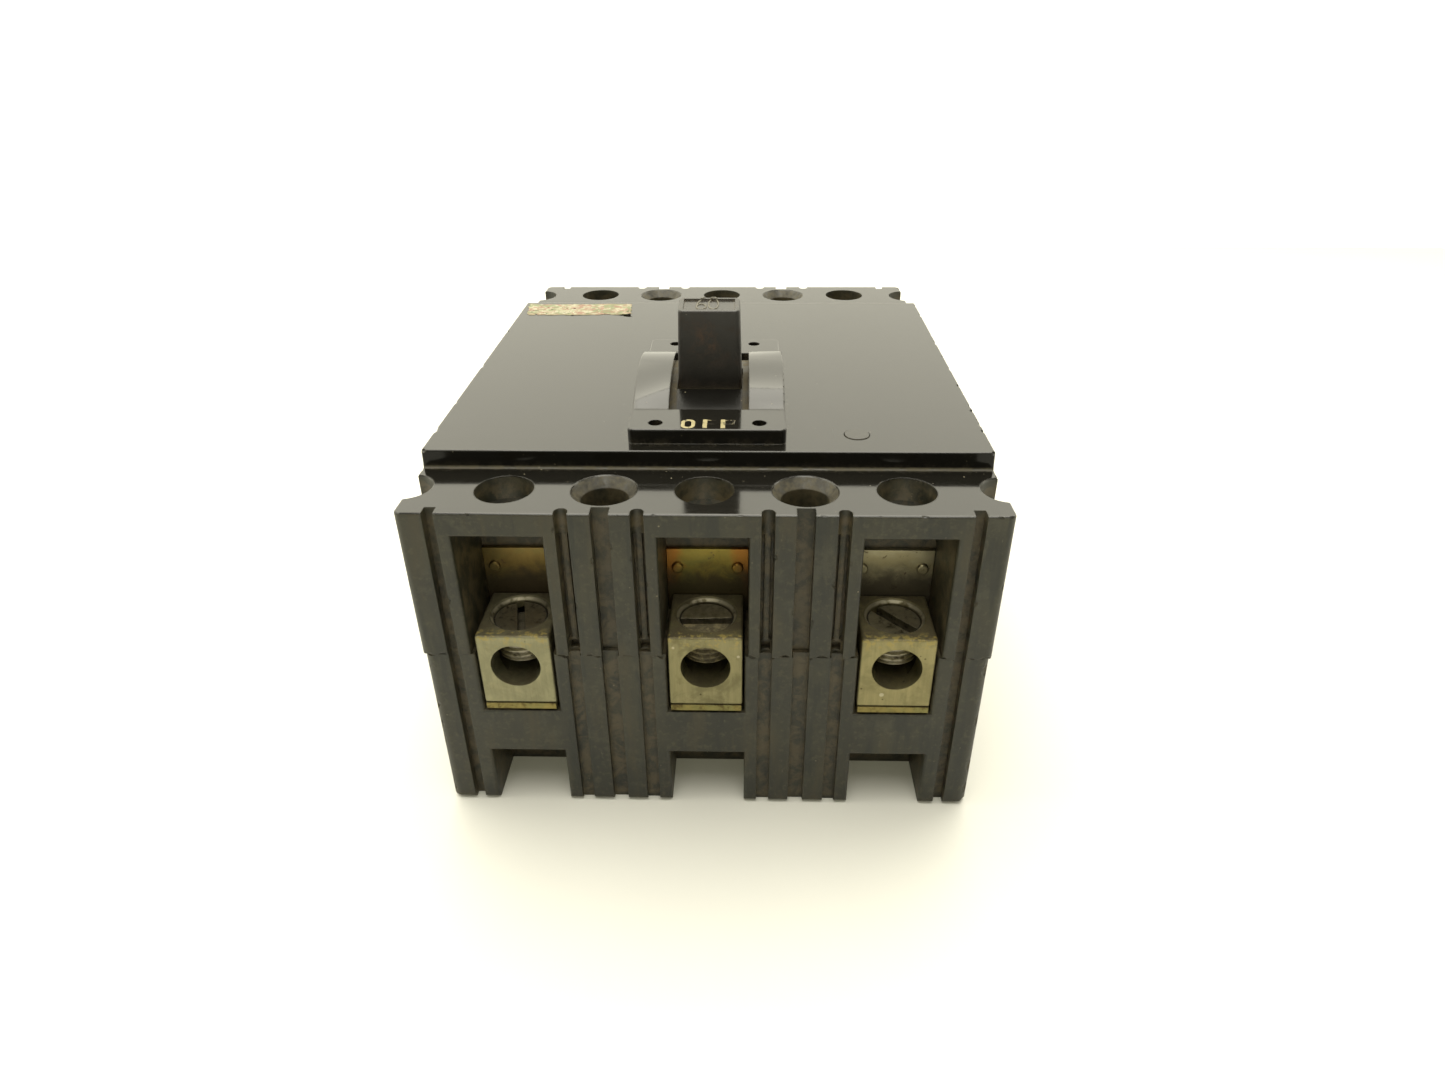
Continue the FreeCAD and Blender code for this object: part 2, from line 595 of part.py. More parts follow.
def mechanism_frame(side):
    """Side frame bearing the crossbar, the handle lever and the cradle pin."""
    frame = plate_x(side * 10.4, side * 11.6, FRAME_OUTLINE)
    frame = frame.cut([cyl_x(-20, 20, *BAR, BAR_R + 0.08),
                       cyl_x(-20, 20, *CRADLE, PIN_R + 0.02),
                       cyl_x(-20, 20, *FRAME_PIN, PIN_R + 0.02)])
    # foot on the floor, then the stud for the handle lever
    frame = frame.fuse(box(side * 10.4, side * 17.0, -12.0, 2.0, FRAME_Z0, 7.3))
    return one(frame.fuse(cyl_x(side * 11.5, side * 14.3, *HUB, 2.5)))


save("mechanism_frame_left", mechanism_frame(-1))
save("mechanism_frame_right", mechanism_frame(1))
save("frame_pins", group([cyl_x(-11.9, 11.9, *at, PIN_R) for at in (CRADLE, FRAME_PIN)]))

# ---------------------------------------------------------------- handle
# Drawn upright about the handle axis, then leaned to its rest angle.
HANDLE_TOP = HUB_Z + HANDLE_TIP_R
SPRING_BAR = (HUB_Y, HUB_Z + 21.0)


def leaned(shape):
    return turned(shape, HUB, HANDLE_REST)


def stem_section(z, half_x, half_y):
    corners = [V(sx * half_x, HUB_Y + sy * half_y, z)
               for sx, sy in ((-1, -1), (1, -1), (1, 1), (-1, 1), (-1, -1))]
    return Part.makePolygon(corners)


def make_handle():
    stem = Part.makeLoft([stem_section(HUB_Z + 31.0, 6.85, 4.6),
                          stem_section(HANDLE_TOP, 6.35, 3.5)], True)
    stem = soften(stem, lambda e: e.BoundBox.ZLength > 5, (1.0, 0.7))
    stem = soften(stem, at_height(HANDLE_TOP, 1e-4), (0.5, 0.3))
    foot = box(-10.5, 10.5, HUB_Y - 9.0, HUB_Y + 9.0, HUB_Z + 20, HUB_Z + 40)
    foot = foot.common(cyl_x(-20, 20, *HUB, 31.7)).cut(cyl_x(-20, 20, *HUB, 26.3))
    # sunk panel in the tip, then the slot for the lever's tongue
    panel = box(-5.3, 5.3, HUB_Y - 2.6, HUB_Y + 2.6, HANDLE_TOP - 0.35, HANDLE_TOP + 1)
    handle = stem.fuse(foot).cut(panel)
    handle = handle.cut(box(-11, 11, HUB_Y - 1.6, HUB_Y + 1.6, HUB_Z + 26.0, HUB_Z + 29.0))
    return one(leaned(handle))


def dust_shield():
    """Curved shield under the hump, with a hole for the handle."""
    shield = cyl_x(-13.9, 13.9, *HUB, 33.1).cut(cyl_x(-20, 20, *HUB, 32.3))
    half_angle = math.radians(50.5)
    dy, dz = 90 * math.sin(half_angle), 90 * math.cos(half_angle)
    wedge = plate_x(-15, 15, [HUB, (HUB_Y - dy, HUB_Z + dz), (HUB_Y + dy, HUB_Z + dz)])
    hole = box(-7.0, 7.0, HUB_Y - 4.75, HUB_Y + 4.75, HUB_Z, HUB_Z + 60)
    return one(leaned(shield.common(wedge).cut(hole)))


def handle_lever():
    """A steel yoke over the side frames, with a tongue into the handle."""
    stud_hole_r = 2.53
    cheeks = []
    for side in SIDES:
        a, b = side * 12.4, side * 13.6
        cheek = link(a, b, HUB, (HUB_Y, HUB_Z + 20.5), 4.2, stud_hole_r, 0)
        cheeks.append(cheek.fuse(plate_x(a, b, [
            (HUB_Y - 4.2, HUB_Z + 16), (HUB_Y - 6.5, HUB_Z + 22), (HUB_Y - 6.5, HUB_Z + 25.0),
            (HUB_Y + 6.5, HUB_Z + 25.0), (HUB_Y + 6.5, HUB_Z + 22), (HUB_Y + 4.2, HUB_Z + 16)])))
    top = box(-13.6, 13.6, HUB_Y - 6.5, HUB_Y + 6.5, HUB_Z + 23.8, HUB_Z + 25.0)
    tongue = box(-8.0, 8.0, HUB_Y - 1.4, HUB_Y + 1.4, HUB_Z + 24.5, HUB_Z + 28.8)
    lever = cheeks[0].fuse([cheeks[1], top, tongue]).cut(cyl_x(-20, 20, *HUB, stud_hole_r))
    return one(leaned(lever.cut(cyl_x(-20, 20, *SPRING_BAR, 1.25))))


def main_spring(x):
    """Spring from the knee pin to the spring bar."""
    knee = V(x, *KNEE)
    bar = V(x, *turned_point(SPRING_BAR, HUB, HANDLE_REST))
    way = (bar - knee).normalize()
    return coil(knee + way * 3.0, bar - way * 2.6, radius=1.9, wire_radius=0.42, turns=11)


save("handle", make_handle())
save("dust_shield", dust_shield())
save("handle_lever", handle_lever())
save("spring_bar", leaned(cyl_x(-14.0, 14.0, *SPRING_BAR, 1.2)))
save("main_springs", group([main_spring(x) for x in (-6.0, 6.0)]))

# ---------------------------------------------------------------- trip unit
CAL_X, CAL_Z = 4.5, 53.2        # calibration screw, x from its pole
BRAID_PATH = [                  # x from the pole, y, z
    (-2.2, -50.3, 55.0), (-2.2, -46.5, 54.6), (-2.2, -42.6, 50.5),
    (-1.2, -41.4, 44.0), (-0.6, -41.9, 37.0), (0, -42.6, 31.0)]


def make_trip_bar():
    bar = cyl_x(-50.0, 50.0, *TRIP, TRIP_R)
    for x in POLES.values():
        bar = bar.fuse(box(x + 2.5, x + 6.5, TRIP_Y - 1.5, TRIP_Y + 1.5, 50.5, TRIP_Z))
    # tab under the push-to-trip button
    bar = bar.fuse(box(BUTTON_X - 2.4, BUTTON_X + 2.4, -51.4, TRIP_Y, 60.2, 62.5))
    for x in POLES.values():
        bar = bar.cut(cyl_y(TRIP_Y - 3, TRIP_Y + 3, x + CAL_X, CAL_Z, 1.02))
    # seat of the latch
    return one(bar.cut(box(-4.1, 4.1, TRIP_Y - 1.0, TRIP_Y + 0.05, TRIP_Z + 1.0, TRIP_Z + 4)))


def calibration_screw(x):
    slot = box(x + 2, x + 7, -41.6, -40, 52.9, 53.5)
    head = cyl_y(-42.5, -41.0, x + CAL_X, CAL_Z, 1.5).cut(slot)
    return one(cyl_y(-47.2, -41.6, x + CAL_X, CAL_Z, 1.0).fuse(head))


def make_latch():
    y0, top = TRIP_Y - 0.95, TRIP_Z + 7.0
    upright = box(-4.0, 4.0, y0, TRIP_Y, TRIP_Z + 1.02, top)
    return one(upright.fuse(box(-4.0, 4.0, y0, -39.6, TRIP_Z + 6.0, top)))


def magnet_yoke(x):
    yoke = box(x - 7.2, x + 7.2, -55.9, -54.3, 33.0, 45.0)
    return one(yoke.fuse([box(x - 7.2, x - 5.7, -55.0, -50.0, 33.0, 45.0),
                          box(x + 5.7, x + 7.2, -55.0, -50.0, 33.0, 45.0)]))


def armature(x):
    """Plate with a finger up one side and a pivot rod along its top."""
    plate = box(x - 7.0, x + 7.0, -47.6, -46.6, 33.0, 46.4)
    return one(plate.fuse([box(x + 2.0, x + 7.0, -47.6, -46.6, 46.0, 51.6),
                           cyl_x(x - 8.6, x + 8.6, -47.1, 46.6, 0.9)]))


def flexible_braid(x):
    points = [V(x + dx, y, z) for dx, y, z in BRAID_PATH]
    curve = Part.BSplineCurve()
    curve.interpolate(points)
    start = curve.tangent(curve.FirstParameter)[0]
    profile = Part.Wire([Part.makeCircle(1.15, points[0], start)])
    return Part.Wire([curve.toShape()]).makePipeShell([profile], True, True)


def trip_button():
    x, y, top = BUTTON_X, BUTTON_Y, Z_COVER + 0.15
    button = cyl_z(74.0, top, x, y, BUTTON_R).fuse([
        cyl_z(69.4, 74.1, x, y, 1.6), cyl_z(69.4, 69.9, x, y, 2.4), cyl_z(63.1, 69.5, x, y, 1.3)])
    return one(soften(button, at_height(top, 1e-4), (0.12,)))


save("trip_bar", make_trip_bar())
save("calibration_screws", group([calibration_screw(x) for x in POLES.values()]))
save("latch", make_latch())
save("trip_bar_spring", coil(V(12.2, *TRIP), V(16.2, *TRIP),
                             radius=3.7, wire_radius=0.28, turns=3.5))
for pole, pole_x in POLES.items():
    save("armature_" + pole, armature(pole_x))
save("bimetals", group([box(x - 3.6, x + 3.6, -52.62, -51.62, 31.0, 56.2)
                        for x in POLES.values()]))
save("magnet_yokes", group([magnet_yoke(x) for x in POLES.values()]))
save("flexible_braids", group([flexible_braid(x) for x in POLES.values()]))
save("trip_button", trip_button())
save("trip_button_spring", coil(V(BUTTON_X, BUTTON_Y, 70.35), V(BUTTON_X, BUTTON_Y, 73.65),
                                radius=2.1, wire_radius=0.22, turns=3))

# ---------------------------------------------------------------- arc chutes
ARC_PLATE_Z = [19.0 + 5.2 * i for i in range(8)]
ARC_PLATE_T = 1.2


def arc_plate(x, z):
    """Plate with a tapered notch in its load-side edge."""
    notch = [(x - 5.5, 32.0), (x + 5.5, 32.0), (x + 2.0, 43.0), (x - 2.0, 43.0)]
    plate = box(x - 12.5, x + 12.5, 33.0, 50.5, z, z + ARC_PLATE_T)
    return one(plate.cut(plate_z(z - 1, z + ARC_PLATE_T + 1, notch)))


save("arc_plates", group([arc_plate(x, z) for x in POLES.values() for z in ARC_PLATE_Z]))
save("arc_chute_sides", group([
    box(x + side * 12.55, x + side * 13.75, 31.5, 51.5, 14.5, 60.5)
    for x in POLES.values() for side in SIDES]))

# ---------------------------------------------------------------- label
# Remains of a paper label on the cover
LABEL_OUTLINE = [               # x, y
    (-53.6, 42.6), (-25.2, 43.0), (-24.9, 38.6), (-27.2, 36.9), (-30.5, 37.9), (-33.0, 35.2),
    (-37.2, 36.1), (-40.0, 34.0), (-44.8, 35.6), (-48.4, 33.4), (-52.2, 34.8), (-54.2, 37.4)]
save("label_remnant", one(plate_z(Z_COVER + 0.01, Z_COVER + 0.13, LABEL_OUTLINE)))
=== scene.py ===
# Looks for a three-pole molded case breaker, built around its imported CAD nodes.
# It lies on its back at z = 0 with the cover on top (+z). The load terminals are at the
# front (-y), the line terminals at the rear (+y), and the poles are side by side along x.
import bpy, bmesh, json, math, random
from mathutils import Vector, Matrix, noise as mnoise
from mathutils.bvhtree import BVHTree


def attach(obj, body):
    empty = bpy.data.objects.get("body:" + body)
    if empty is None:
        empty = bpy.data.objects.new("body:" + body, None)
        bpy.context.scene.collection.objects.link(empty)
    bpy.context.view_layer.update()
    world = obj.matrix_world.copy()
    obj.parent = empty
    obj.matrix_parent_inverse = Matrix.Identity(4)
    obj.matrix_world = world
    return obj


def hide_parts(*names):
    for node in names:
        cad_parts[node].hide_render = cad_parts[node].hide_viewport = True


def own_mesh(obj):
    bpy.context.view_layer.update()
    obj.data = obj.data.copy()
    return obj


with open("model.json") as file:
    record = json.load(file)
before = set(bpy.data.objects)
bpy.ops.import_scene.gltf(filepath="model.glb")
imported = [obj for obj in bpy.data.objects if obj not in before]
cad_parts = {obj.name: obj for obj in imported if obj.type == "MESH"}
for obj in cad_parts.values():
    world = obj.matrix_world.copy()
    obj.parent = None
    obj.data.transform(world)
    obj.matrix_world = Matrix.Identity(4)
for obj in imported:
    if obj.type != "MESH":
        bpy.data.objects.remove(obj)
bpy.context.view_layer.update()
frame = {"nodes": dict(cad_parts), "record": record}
NODES = frame["nodes"]
scene = bpy.context.scene

MM = 0.001                 # metres; tables are in mm, shader distances in metres
POLE_PITCH = 38.1          # mm between neighbouring poles
SCREW_Y = 67.3             # mm from the middle to a row of terminal screws
POLES = (("left", -POLE_PITCH), ("centre", 0.0), ("right", POLE_PITCH))
LABEL_Y = (0.0324, 0.0432)  # near and far edge of the label, metres


# ---------------------------------------------------------------- shader building
class Field:
    """A node output. Arithmetic on it adds math nodes to its shader."""

    def __init__(self, shader, socket):
        self.shader = shader
        self.socket = socket

    def __add__(self, other):
        return self.shader.math("ADD", self, other)

    def __radd__(self, other):
        return self.shader.math("ADD", other, self)

    def __sub__(self, other):
        return self.shader.math("SUBTRACT", self, other)

    def __rsub__(self, other):
        return self.shader.math("SUBTRACT", other, self)

    def __mul__(self, other):
        return self.shader.math("MULTIPLY", self, other)

    def __abs__(self):
        return self.shader.math("ABSOLUTE", self)

    def max(self, other):
        return self.shader.math("MAXIMUM", self, other)

    def min(self, other):
        return self.shader.math("MINIMUM", self, other)

    def below(self, limit):
        return self.shader.math("LESS_THAN", self, limit)

    def sqrt(self):
        return self.shader.math("SQRT", self)

    def ramp(self, off, on):
        """Smooth step from 0 at off to 1 at on; off may be the larger one."""
        falling = off > on
        made = self.shader.node("MapRange", {
            "Value": self, "From Min": min(off, on), "From Max": max(off, on),
            "To Min": 1.0 if falling else 0.0, "To Max": 0.0 if falling else 1.0,
        }, interpolation_type="SMOOTHSTEP", clamp=True)
        return Field(self.shader, made.outputs["Result"])

    def lerp(self, at0, at1):
        """at0 where this field is 0, at1 where it is 1."""
        made = self.shader.node("Mix", {0: self, 2: at0, 3: at1}, data_type="FLOAT")
        return Field(self.shader, made.outputs[0])


class Shader:
    """A material under construction; color is the base colour painted so far."""

    def __init__(self, name):
        self.material = bpy.data.materials.new(name)
        self.material.use_nodes = True
        self.tree = self.material.node_tree
        self.tree.nodes.clear()
        self.output = self.tree.nodes.new("ShaderNodeOutputMaterial")
        self.coords = self.tree.nodes.new("ShaderNodeTexCoord")
        self.position = Field(self, self.coords.outputs["Object"])
        self.color = None

    def put(self, value, socket):
        """Link a field, or set a number or tuple, padding a colour with alpha 1."""
        if isinstance(value, Field):
            self.tree.links.new(value.socket, socket)
        elif isinstance(value, tuple):
            missing = len(socket.default_value) - len(value)
            socket.default_value = value + (1.0,) * missing
        else:
            socket.default_value = value

    def node(self, kind, inputs, **settings):
        made = self.tree.nodes.new("ShaderNode" + kind)
        for key, value in settings.items():
            setattr(made, key, value)
        for key, value in inputs.items():
            self.put(value, made.inputs[key])
        return made

    def math(self, kind, first, second=0.0, clamp=False):
        made = self.node("Math", {0: first, 1: second, 2: 0.0}, operation=kind, use_clamp=clamp)
        return Field(self, made.outputs[0])

    def xyz(self, source):
        """The three parts of the Object position or the Normal."""
        made = self.node("SeparateXYZ", {0: Field(self, self.coords.outputs[source])})
        return [Field(self, socket) for socket in made.outputs]

    def mix(self, factor, at0, at1):
        made = self.node("Mix", {0: factor, 6: at0, 7: at1}, data_type="RGBA", clamp_factor=True)
        return Field(self, made.outputs[2])

    def paint(self, mask, tint):
        self.color = self.mix(mask, self.color, tint)

    def noise(self, scale, seed, detail=4, rough=0.6, warp=0.0, source=None):
        made = self.node("TexNoise", {
            "Vector": source or self.position, "W": seed, "Scale": scale, "Detail": detail,
            "Roughness": rough, "Distortion": warp}, noise_dimensions="4D")
        return Field(self, made.outputs[0])

    def streaks(self, scale, seed, turn=(0, 0, 0), detail=4, rough=0.6):
        """Noise with its own scale on each axis."""
        made = self.node("Mapping", {"Scale": scale, "Rotation": turn, "Vector": self.position})
        return self.noise(1.0, seed, detail, rough, source=Field(self, made.outputs[0]))

    def specks(self, scale, share, size, seed):
        """Scattered dots: about share of the cells hold one, of radius size in cells."""
        cells = self.node("TexVoronoi", {"Vector": self.position, "W": seed, "Scale": scale},
                          voronoi_dimensions="4D", feature="F1")
        pick = self.node("SeparateColor", {0: Field(self, cells.outputs["Color"])})
        kept = Field(self, pick.outputs[0]).below(share)
        radius = Field(self, pick.outputs[1]) * size + size * 0.3
        return kept * Field(self, cells.outputs["Distance"]).below(radius)

    def corners(self, distance, off, on):
        """1 deep in corners, from ambient occlusion."""
        return self.occlusion(distance).ramp(off, on)

    def occlusion(self, distance):
        made = self.node("AmbientOcclusion", {"Distance": distance}, samples=3)
        return Field(self, made.outputs["AO"])

    def rounded(self, radius):
        """Shading normal with softened edges."""
        return Field(self, self.node("Bevel", {"Radius": radius}, samples=3).outputs[0])

    def edges(self, rounded):
        """1 on sharp corners, 0 on open faces."""
        true_normal = self.tree.nodes.new("ShaderNodeNewGeometry").outputs["True Normal"]
        made = self.node("VectorMath", {0: rounded, 1: Field(self, true_normal)},
                         operation="DOT_PRODUCT")
        return (1.0 - Field(self, made.outputs["Value"])).ramp(off=0.02, on=0.25)

    def bump(self, height, distance, strength, normal=None):
        inputs = {"Strength": strength, "Distance": distance, "Height": height}
        if normal is not None:
            inputs["Normal"] = normal
        return Field(self, self.node("Bump", inputs).outputs[0])

    def finish(self, rough, metal=0.0, normal=None, ior=1.5, spec=0.5, glow=None, glow_power=0.0):
        inputs = {"Base Color": self.color, "Roughness": rough, "Metallic": metal, "IOR": ior,
                  "Specular IOR Level": spec, "Coat Roughness": 0.1}
        if normal is not None:
            inputs["Normal"] = normal
        if glow is not None:
            inputs["Emission Color"] = glow
            inputs["Emission Strength"] = glow_power
        surface = self.node("BsdfPrincipled", inputs)
        self.tree.links.new(surface.outputs[0], self.output.inputs["Surface"])
        return self.material


def shade(color, factor):
    return tuple(part * factor for part in color)


def from_pole(x):
    """Distance along x to the nearest pole's middle."""
    return abs(x).min(abs(abs(x) - POLE_PITCH * MM))


# ---------------------------------------------------------------- molded plastics
DUST = (0.30, 0.26, 0.17)
TAN = (0.22, 0.18, 0.11)


def matte_phenolic(m, cloud, fine, across, along, z, nx):
    """Paint the dull greenish black of the ends, with runs, scuffs and tan dirt."""
    m.color = m.mix(cloud.ramp(off=0.35, on=0.68),
                    (0.0165, 0.0165, 0.0095), (0.031, 0.0290, 0.0150))
    m.paint(fine.ramp(off=0.50, on=0.70) * 0.50, (0.066, 0.060, 0.034))
    m.paint(m.noise(150, seed=24.0, detail=5, rough=0.7).ramp(off=0.54, on=0.66) * 0.45,
            (0.050, 0.048, 0.030))
    # brownish and greenish runs down the end faces
    run = m.streaks((240, 240, 34), seed=15.0)
    m.paint(run.ramp(off=0.52, on=0.66) * 0.60, (0.041, 0.033, 0.014))
    m.paint(run.ramp(off=0.48, on=0.36) * 0.70, (0.0085, 0.0105, 0.0070))
    scuff = (m.streaks((900, 900, 260), seed=21.0, turn=(0, 0.3, 0), rough=0.7)
             .ramp(off=0.64, on=0.74)
             * m.noise(70, seed=22.0, detail=3).ramp(off=0.46, on=0.60))
    m.paint(scuff * 0.55, (0.115, 0.103, 0.066))
    # tan dirt behind the end faces, off the outer sides and the bottom
    deep = along.ramp(off=0.0754, on=0.0744) * z.ramp(off=0.0715, on=0.0700)
    outside = across.ramp(off=0.0515, on=0.0525) * abs(nx).ramp(off=0.5, on=0.8)
    deep = deep * (1.0 - outside) * z.ramp(off=0.0006, on=0.0014)
    patches = m.noise(260, seed=23.0, detail=5, rough=0.7, warp=0.6).ramp(off=0.42, on=0.58)
    m.paint(deep * patches * 0.75, (0.085, 0.066, 0.034))


def recess_dust(m, across, along, z, dust_noise):
    """Paint a pale line along the foot of the raised block and dust in the round recesses; return
    their mask.
    """
    foot = ((along.ramp(off=0.0567, on=0.0572) * along.ramp(off=0.05805, on=0.0576))
            * (z.ramp(off=0.0727, on=0.0723) * z.ramp(off=0.0712, on=0.0718)))
    foot = foot * m.noise(330, seed=16.0, rough=0.7).ramp(off=0.36, on=0.62).lerp(
        at0=0.35, at1=1.0)
    # recesses between the poles hold a ring of dust, those over the poles an upright coat
    from_row = along - 0.0665
    row_squared = from_row * from_row
    from_between = across - POLE_PITCH / 2 * MM
    between_radius = (from_between * from_between + row_squared).sqrt()
    from_middle = across.min(abs(across - POLE_PITCH * MM))
    pole_radius = (from_middle * from_middle + row_squared).sqrt()
    inside = z.ramp(off=0.07195, on=0.0717) * z.ramp(off=0.058, on=0.068)
    cone = (between_radius.ramp(off=0.00665, on=0.0063)
            * between_radius.ramp(off=0.0040, on=0.0050) * inside)
    cone = cone * m.noise(900, seed=17.0, rough=0.7).ramp(off=0.34, on=0.62).lerp(
        at0=0.35, at1=1.0)
    coat = pole_radius.ramp(off=0.0062, on=0.0058) * inside * z.ramp(off=0.0665, on=0.0715)
    coat = coat * m.streaks((700, 700, 120), seed=18.0, rough=0.7).ramp(
        off=0.36, on=0.62).lerp(at0=0.10, at1=0.62)
    recess = (cone * 0.92).max(coat)
    m.paint(recess * 0.85, m.mix(dust_noise.ramp(off=0.36, on=0.62),
                                 (0.026, 0.021, 0.010), (0.088, 0.074, 0.040)))
    # a pale line painted along the foot of the raised block
    m.paint(foot * 0.70, (0.120, 0.104, 0.060))
    return recess.max(foot)


def phenolic(name, is_cover):
    """Black molded housing: polished cover, matte ends, dusty corners, pale worn edges."""
    m = Shader(name)
    x, y, z = m.xyz("Object")
    nx, ny, nz = m.xyz("Normal")
    up = nz.ramp(off=0.3, on=0.75)
    along, across = abs(y), abs(x)
    if is_cover:
        inner_face = along.ramp(off=0.0635, on=0.0615) * z.ramp(off=0.071, on=0.0722)
        gloss = up.max(inner_face) * z.ramp(off=0.068, on=0.0712)
    else:
        gloss = up * 0.0
    cloud = m.noise(60, seed=1.3, rough=0.55)
    fine = m.noise(900, seed=2.1)
    grain = m.noise(4200, seed=3.7, detail=2, rough=0.5)
    smear = m.streaks((90, 500, 90), seed=4.4, turn=(0, 0, 0.5), detail=3)
    polished = m.mix(cloud, (0.0060, 0.0058, 0.0048), (0.0100, 0.0092, 0.0072))
    matte_phenolic(m, cloud, fine, across, along, z, nx)
    m.paint(gloss, polished)
    # dust lying in corners: a hairline on the polished face, wider on the ends
    occlusion = m.occlusion(0.0032)
    dust_noise = m.noise(420, seed=5.2, rough=0.65)
    corner = gloss.lerp(occlusion.ramp(off=0.72, on=0.36),
                        occlusion.ramp(off=0.60, on=0.48) * 0.6)
    dusty = corner * dust_noise.ramp(off=0.42, on=0.62)
    m.paint(dusty * 0.34, TAN)
    if is_cover:
        recess_and_foot_marks = recess_dust(m, across, along, z, dust_noise)
    # pale rubbed edges
    rounded = m.rounded(0.00034)
    wear = m.edges(rounded) * m.noise(300, seed=6.0, detail=5, rough=0.7).ramp(off=0.42, on=0.60)
    m.paint(wear * gloss.lerp(at0=0.62, at1=0.45), (0.120, 0.104, 0.064))
    # loose specks, denser on the ledges close to the block
    loose = m.specks(1000, share=0.09, size=0.14, seed=7.1).max(
        m.specks(420, share=0.022, size=0.09, seed=8.3))
    ledge = along.ramp(off=0.057, on=0.0582) * along.ramp(off=0.066, on=0.0605)
    dense = m.specks(1500, share=0.30, size=0.20, seed=9.0).max(
        m.specks(700, share=0.14, size=0.12, seed=9.2))
    dense = dense * (ledge * m.noise(150, seed=9.5, detail=3).ramp(off=0.44, on=0.60))
    speck = (loose * gloss.lerp(at0=0.65, at1=0.25)).max(dense)
    m.paint(speck * 0.8, DUST)
    # faint hairline scratches in two directions
    scratch_x = m.streaks((14, 2600, 14), seed=11.0, turn=(0, 0, 0.35), detail=2, rough=0.5)
    scratch_y = m.streaks((2400, 16, 16), seed=12.0, turn=(0, 0, 0.22), detail=2, rough=0.5)
    scratch = scratch_x.ramp(off=0.735, on=0.78).max(scratch_y.ramp(off=0.745, on=0.79))
    scratch = scratch * m.noise(45, seed=13.0, detail=2, rough=0.5).ramp(off=0.50, on=0.62)
    gloss_rough = smear.ramp(off=0.35, on=0.75).lerp(at0=0.085, at1=0.14) + scratch * 0.20
    rough = gloss.lerp(fine.lerp(at0=0.38, at1=0.56), gloss_rough)
    all_dust = (dusty * 0.7).max(speck)
    if is_cover:
        all_dust = all_dust.max(recess_and_foot_marks * 0.9)
    rough = all_dust.lerp(rough, 0.80)
    height = (grain * gloss.lerp(at0=0.5, at1=0.02)
              + (fine * gloss.lerp(at0=0.6, at1=0.04)
                 + m.noise(38, seed=14.0, detail=3, rough=0.5) * 0.30))
    height = height + all_dust * 0.5
    normal = m.bump(height, distance=0.00006, strength=0.8, normal=rounded)
    # the polished faces that look along y reflect least
    end_gloss = gloss * abs(ny).ramp(off=0.80, on=0.95)
    return m.finish(rough, normal=normal, ior=1.60,
                    spec=end_gloss.lerp(gloss.lerp(at0=0.36, at1=0.5), 0.16))


def handle_look():
    """Black handle, rubbed brown around a patch near its tip."""
    m = Shader("handle_black_worn")
    x, y, z = m.xyz("Object")
    cloud = m.noise(170, seed=1.0)
    rub = m.noise(260, seed=2.0, detail=5, rough=0.7, warp=0.6).ramp(off=0.48, on=0.68)
    m.color = m.mix(cloud, (0.0060, 0.0050, 0.0038), (0.0150, 0.0125, 0.0090))
    patch = ((x + 0.001) * (x + 0.001) * 2.2
             + (z - 0.0905) * (z - 0.0905)).sqrt().ramp(off=0.0065, on=0.0015)
    m.paint(rub * (0.22 + patch * 0.55), (0.060, 0.032, 0.016))
    rounded = m.rounded(0.0003)
    wear = m.edges(rounded) * m.noise(500, seed=3.0, rough=0.7).ramp(off=0.40, on=0.60)
    m.paint(wear * 0.30, (0.12, 0.105, 0.075))
    top = m.xyz("Normal")[2].ramp(off=0.55, on=0.85)
    m.paint(m.corners(0.002, off=0.72, on=0.40) * 0.40, TAN)
    m.paint(m.specks(1300, share=0.06, size=0.14, seed=4.0) * 0.4, DUST)
    rough = top.lerp(rub.lerp(at0=0.42, at1=0.60), cloud.lerp(at0=0.20, at1=0.32))
    height = m.noise(2600, seed=5.0, detail=3) * 0.6 + m.noise(500, seed=6.0, detail=3)
    return m.finish(rough, ior=1.58,
                    normal=m.bump(height, distance=0.00005, strength=0.7, normal=rounded))


def simple_plastic(name, low, high, rough, seed, dust=0.3):
    """Clouded plastic between two tones, dusty in its corners."""
    m = Shader(name)
    cloud = m.noise(220, seed=seed + 1)
    m.color = m.mix(cloud, low, high)
    m.paint(m.corners(0.002, off=0.8, on=0.35) * dust, TAN)
    m.paint(m.specks(1500, share=0.10, size=0.16, seed=seed + 2) * 0.4, DUST)
    height = m.noise(2500, seed=seed + 3, detail=3) + m.noise(420, seed=seed + 4, detail=3)
    return m.finish(cloud.lerp(at0=rough * 0.85, at1=rough * 1.2), ior=1.55,
                    normal=m.bump(height, distance=0.00005, strength=0.7))


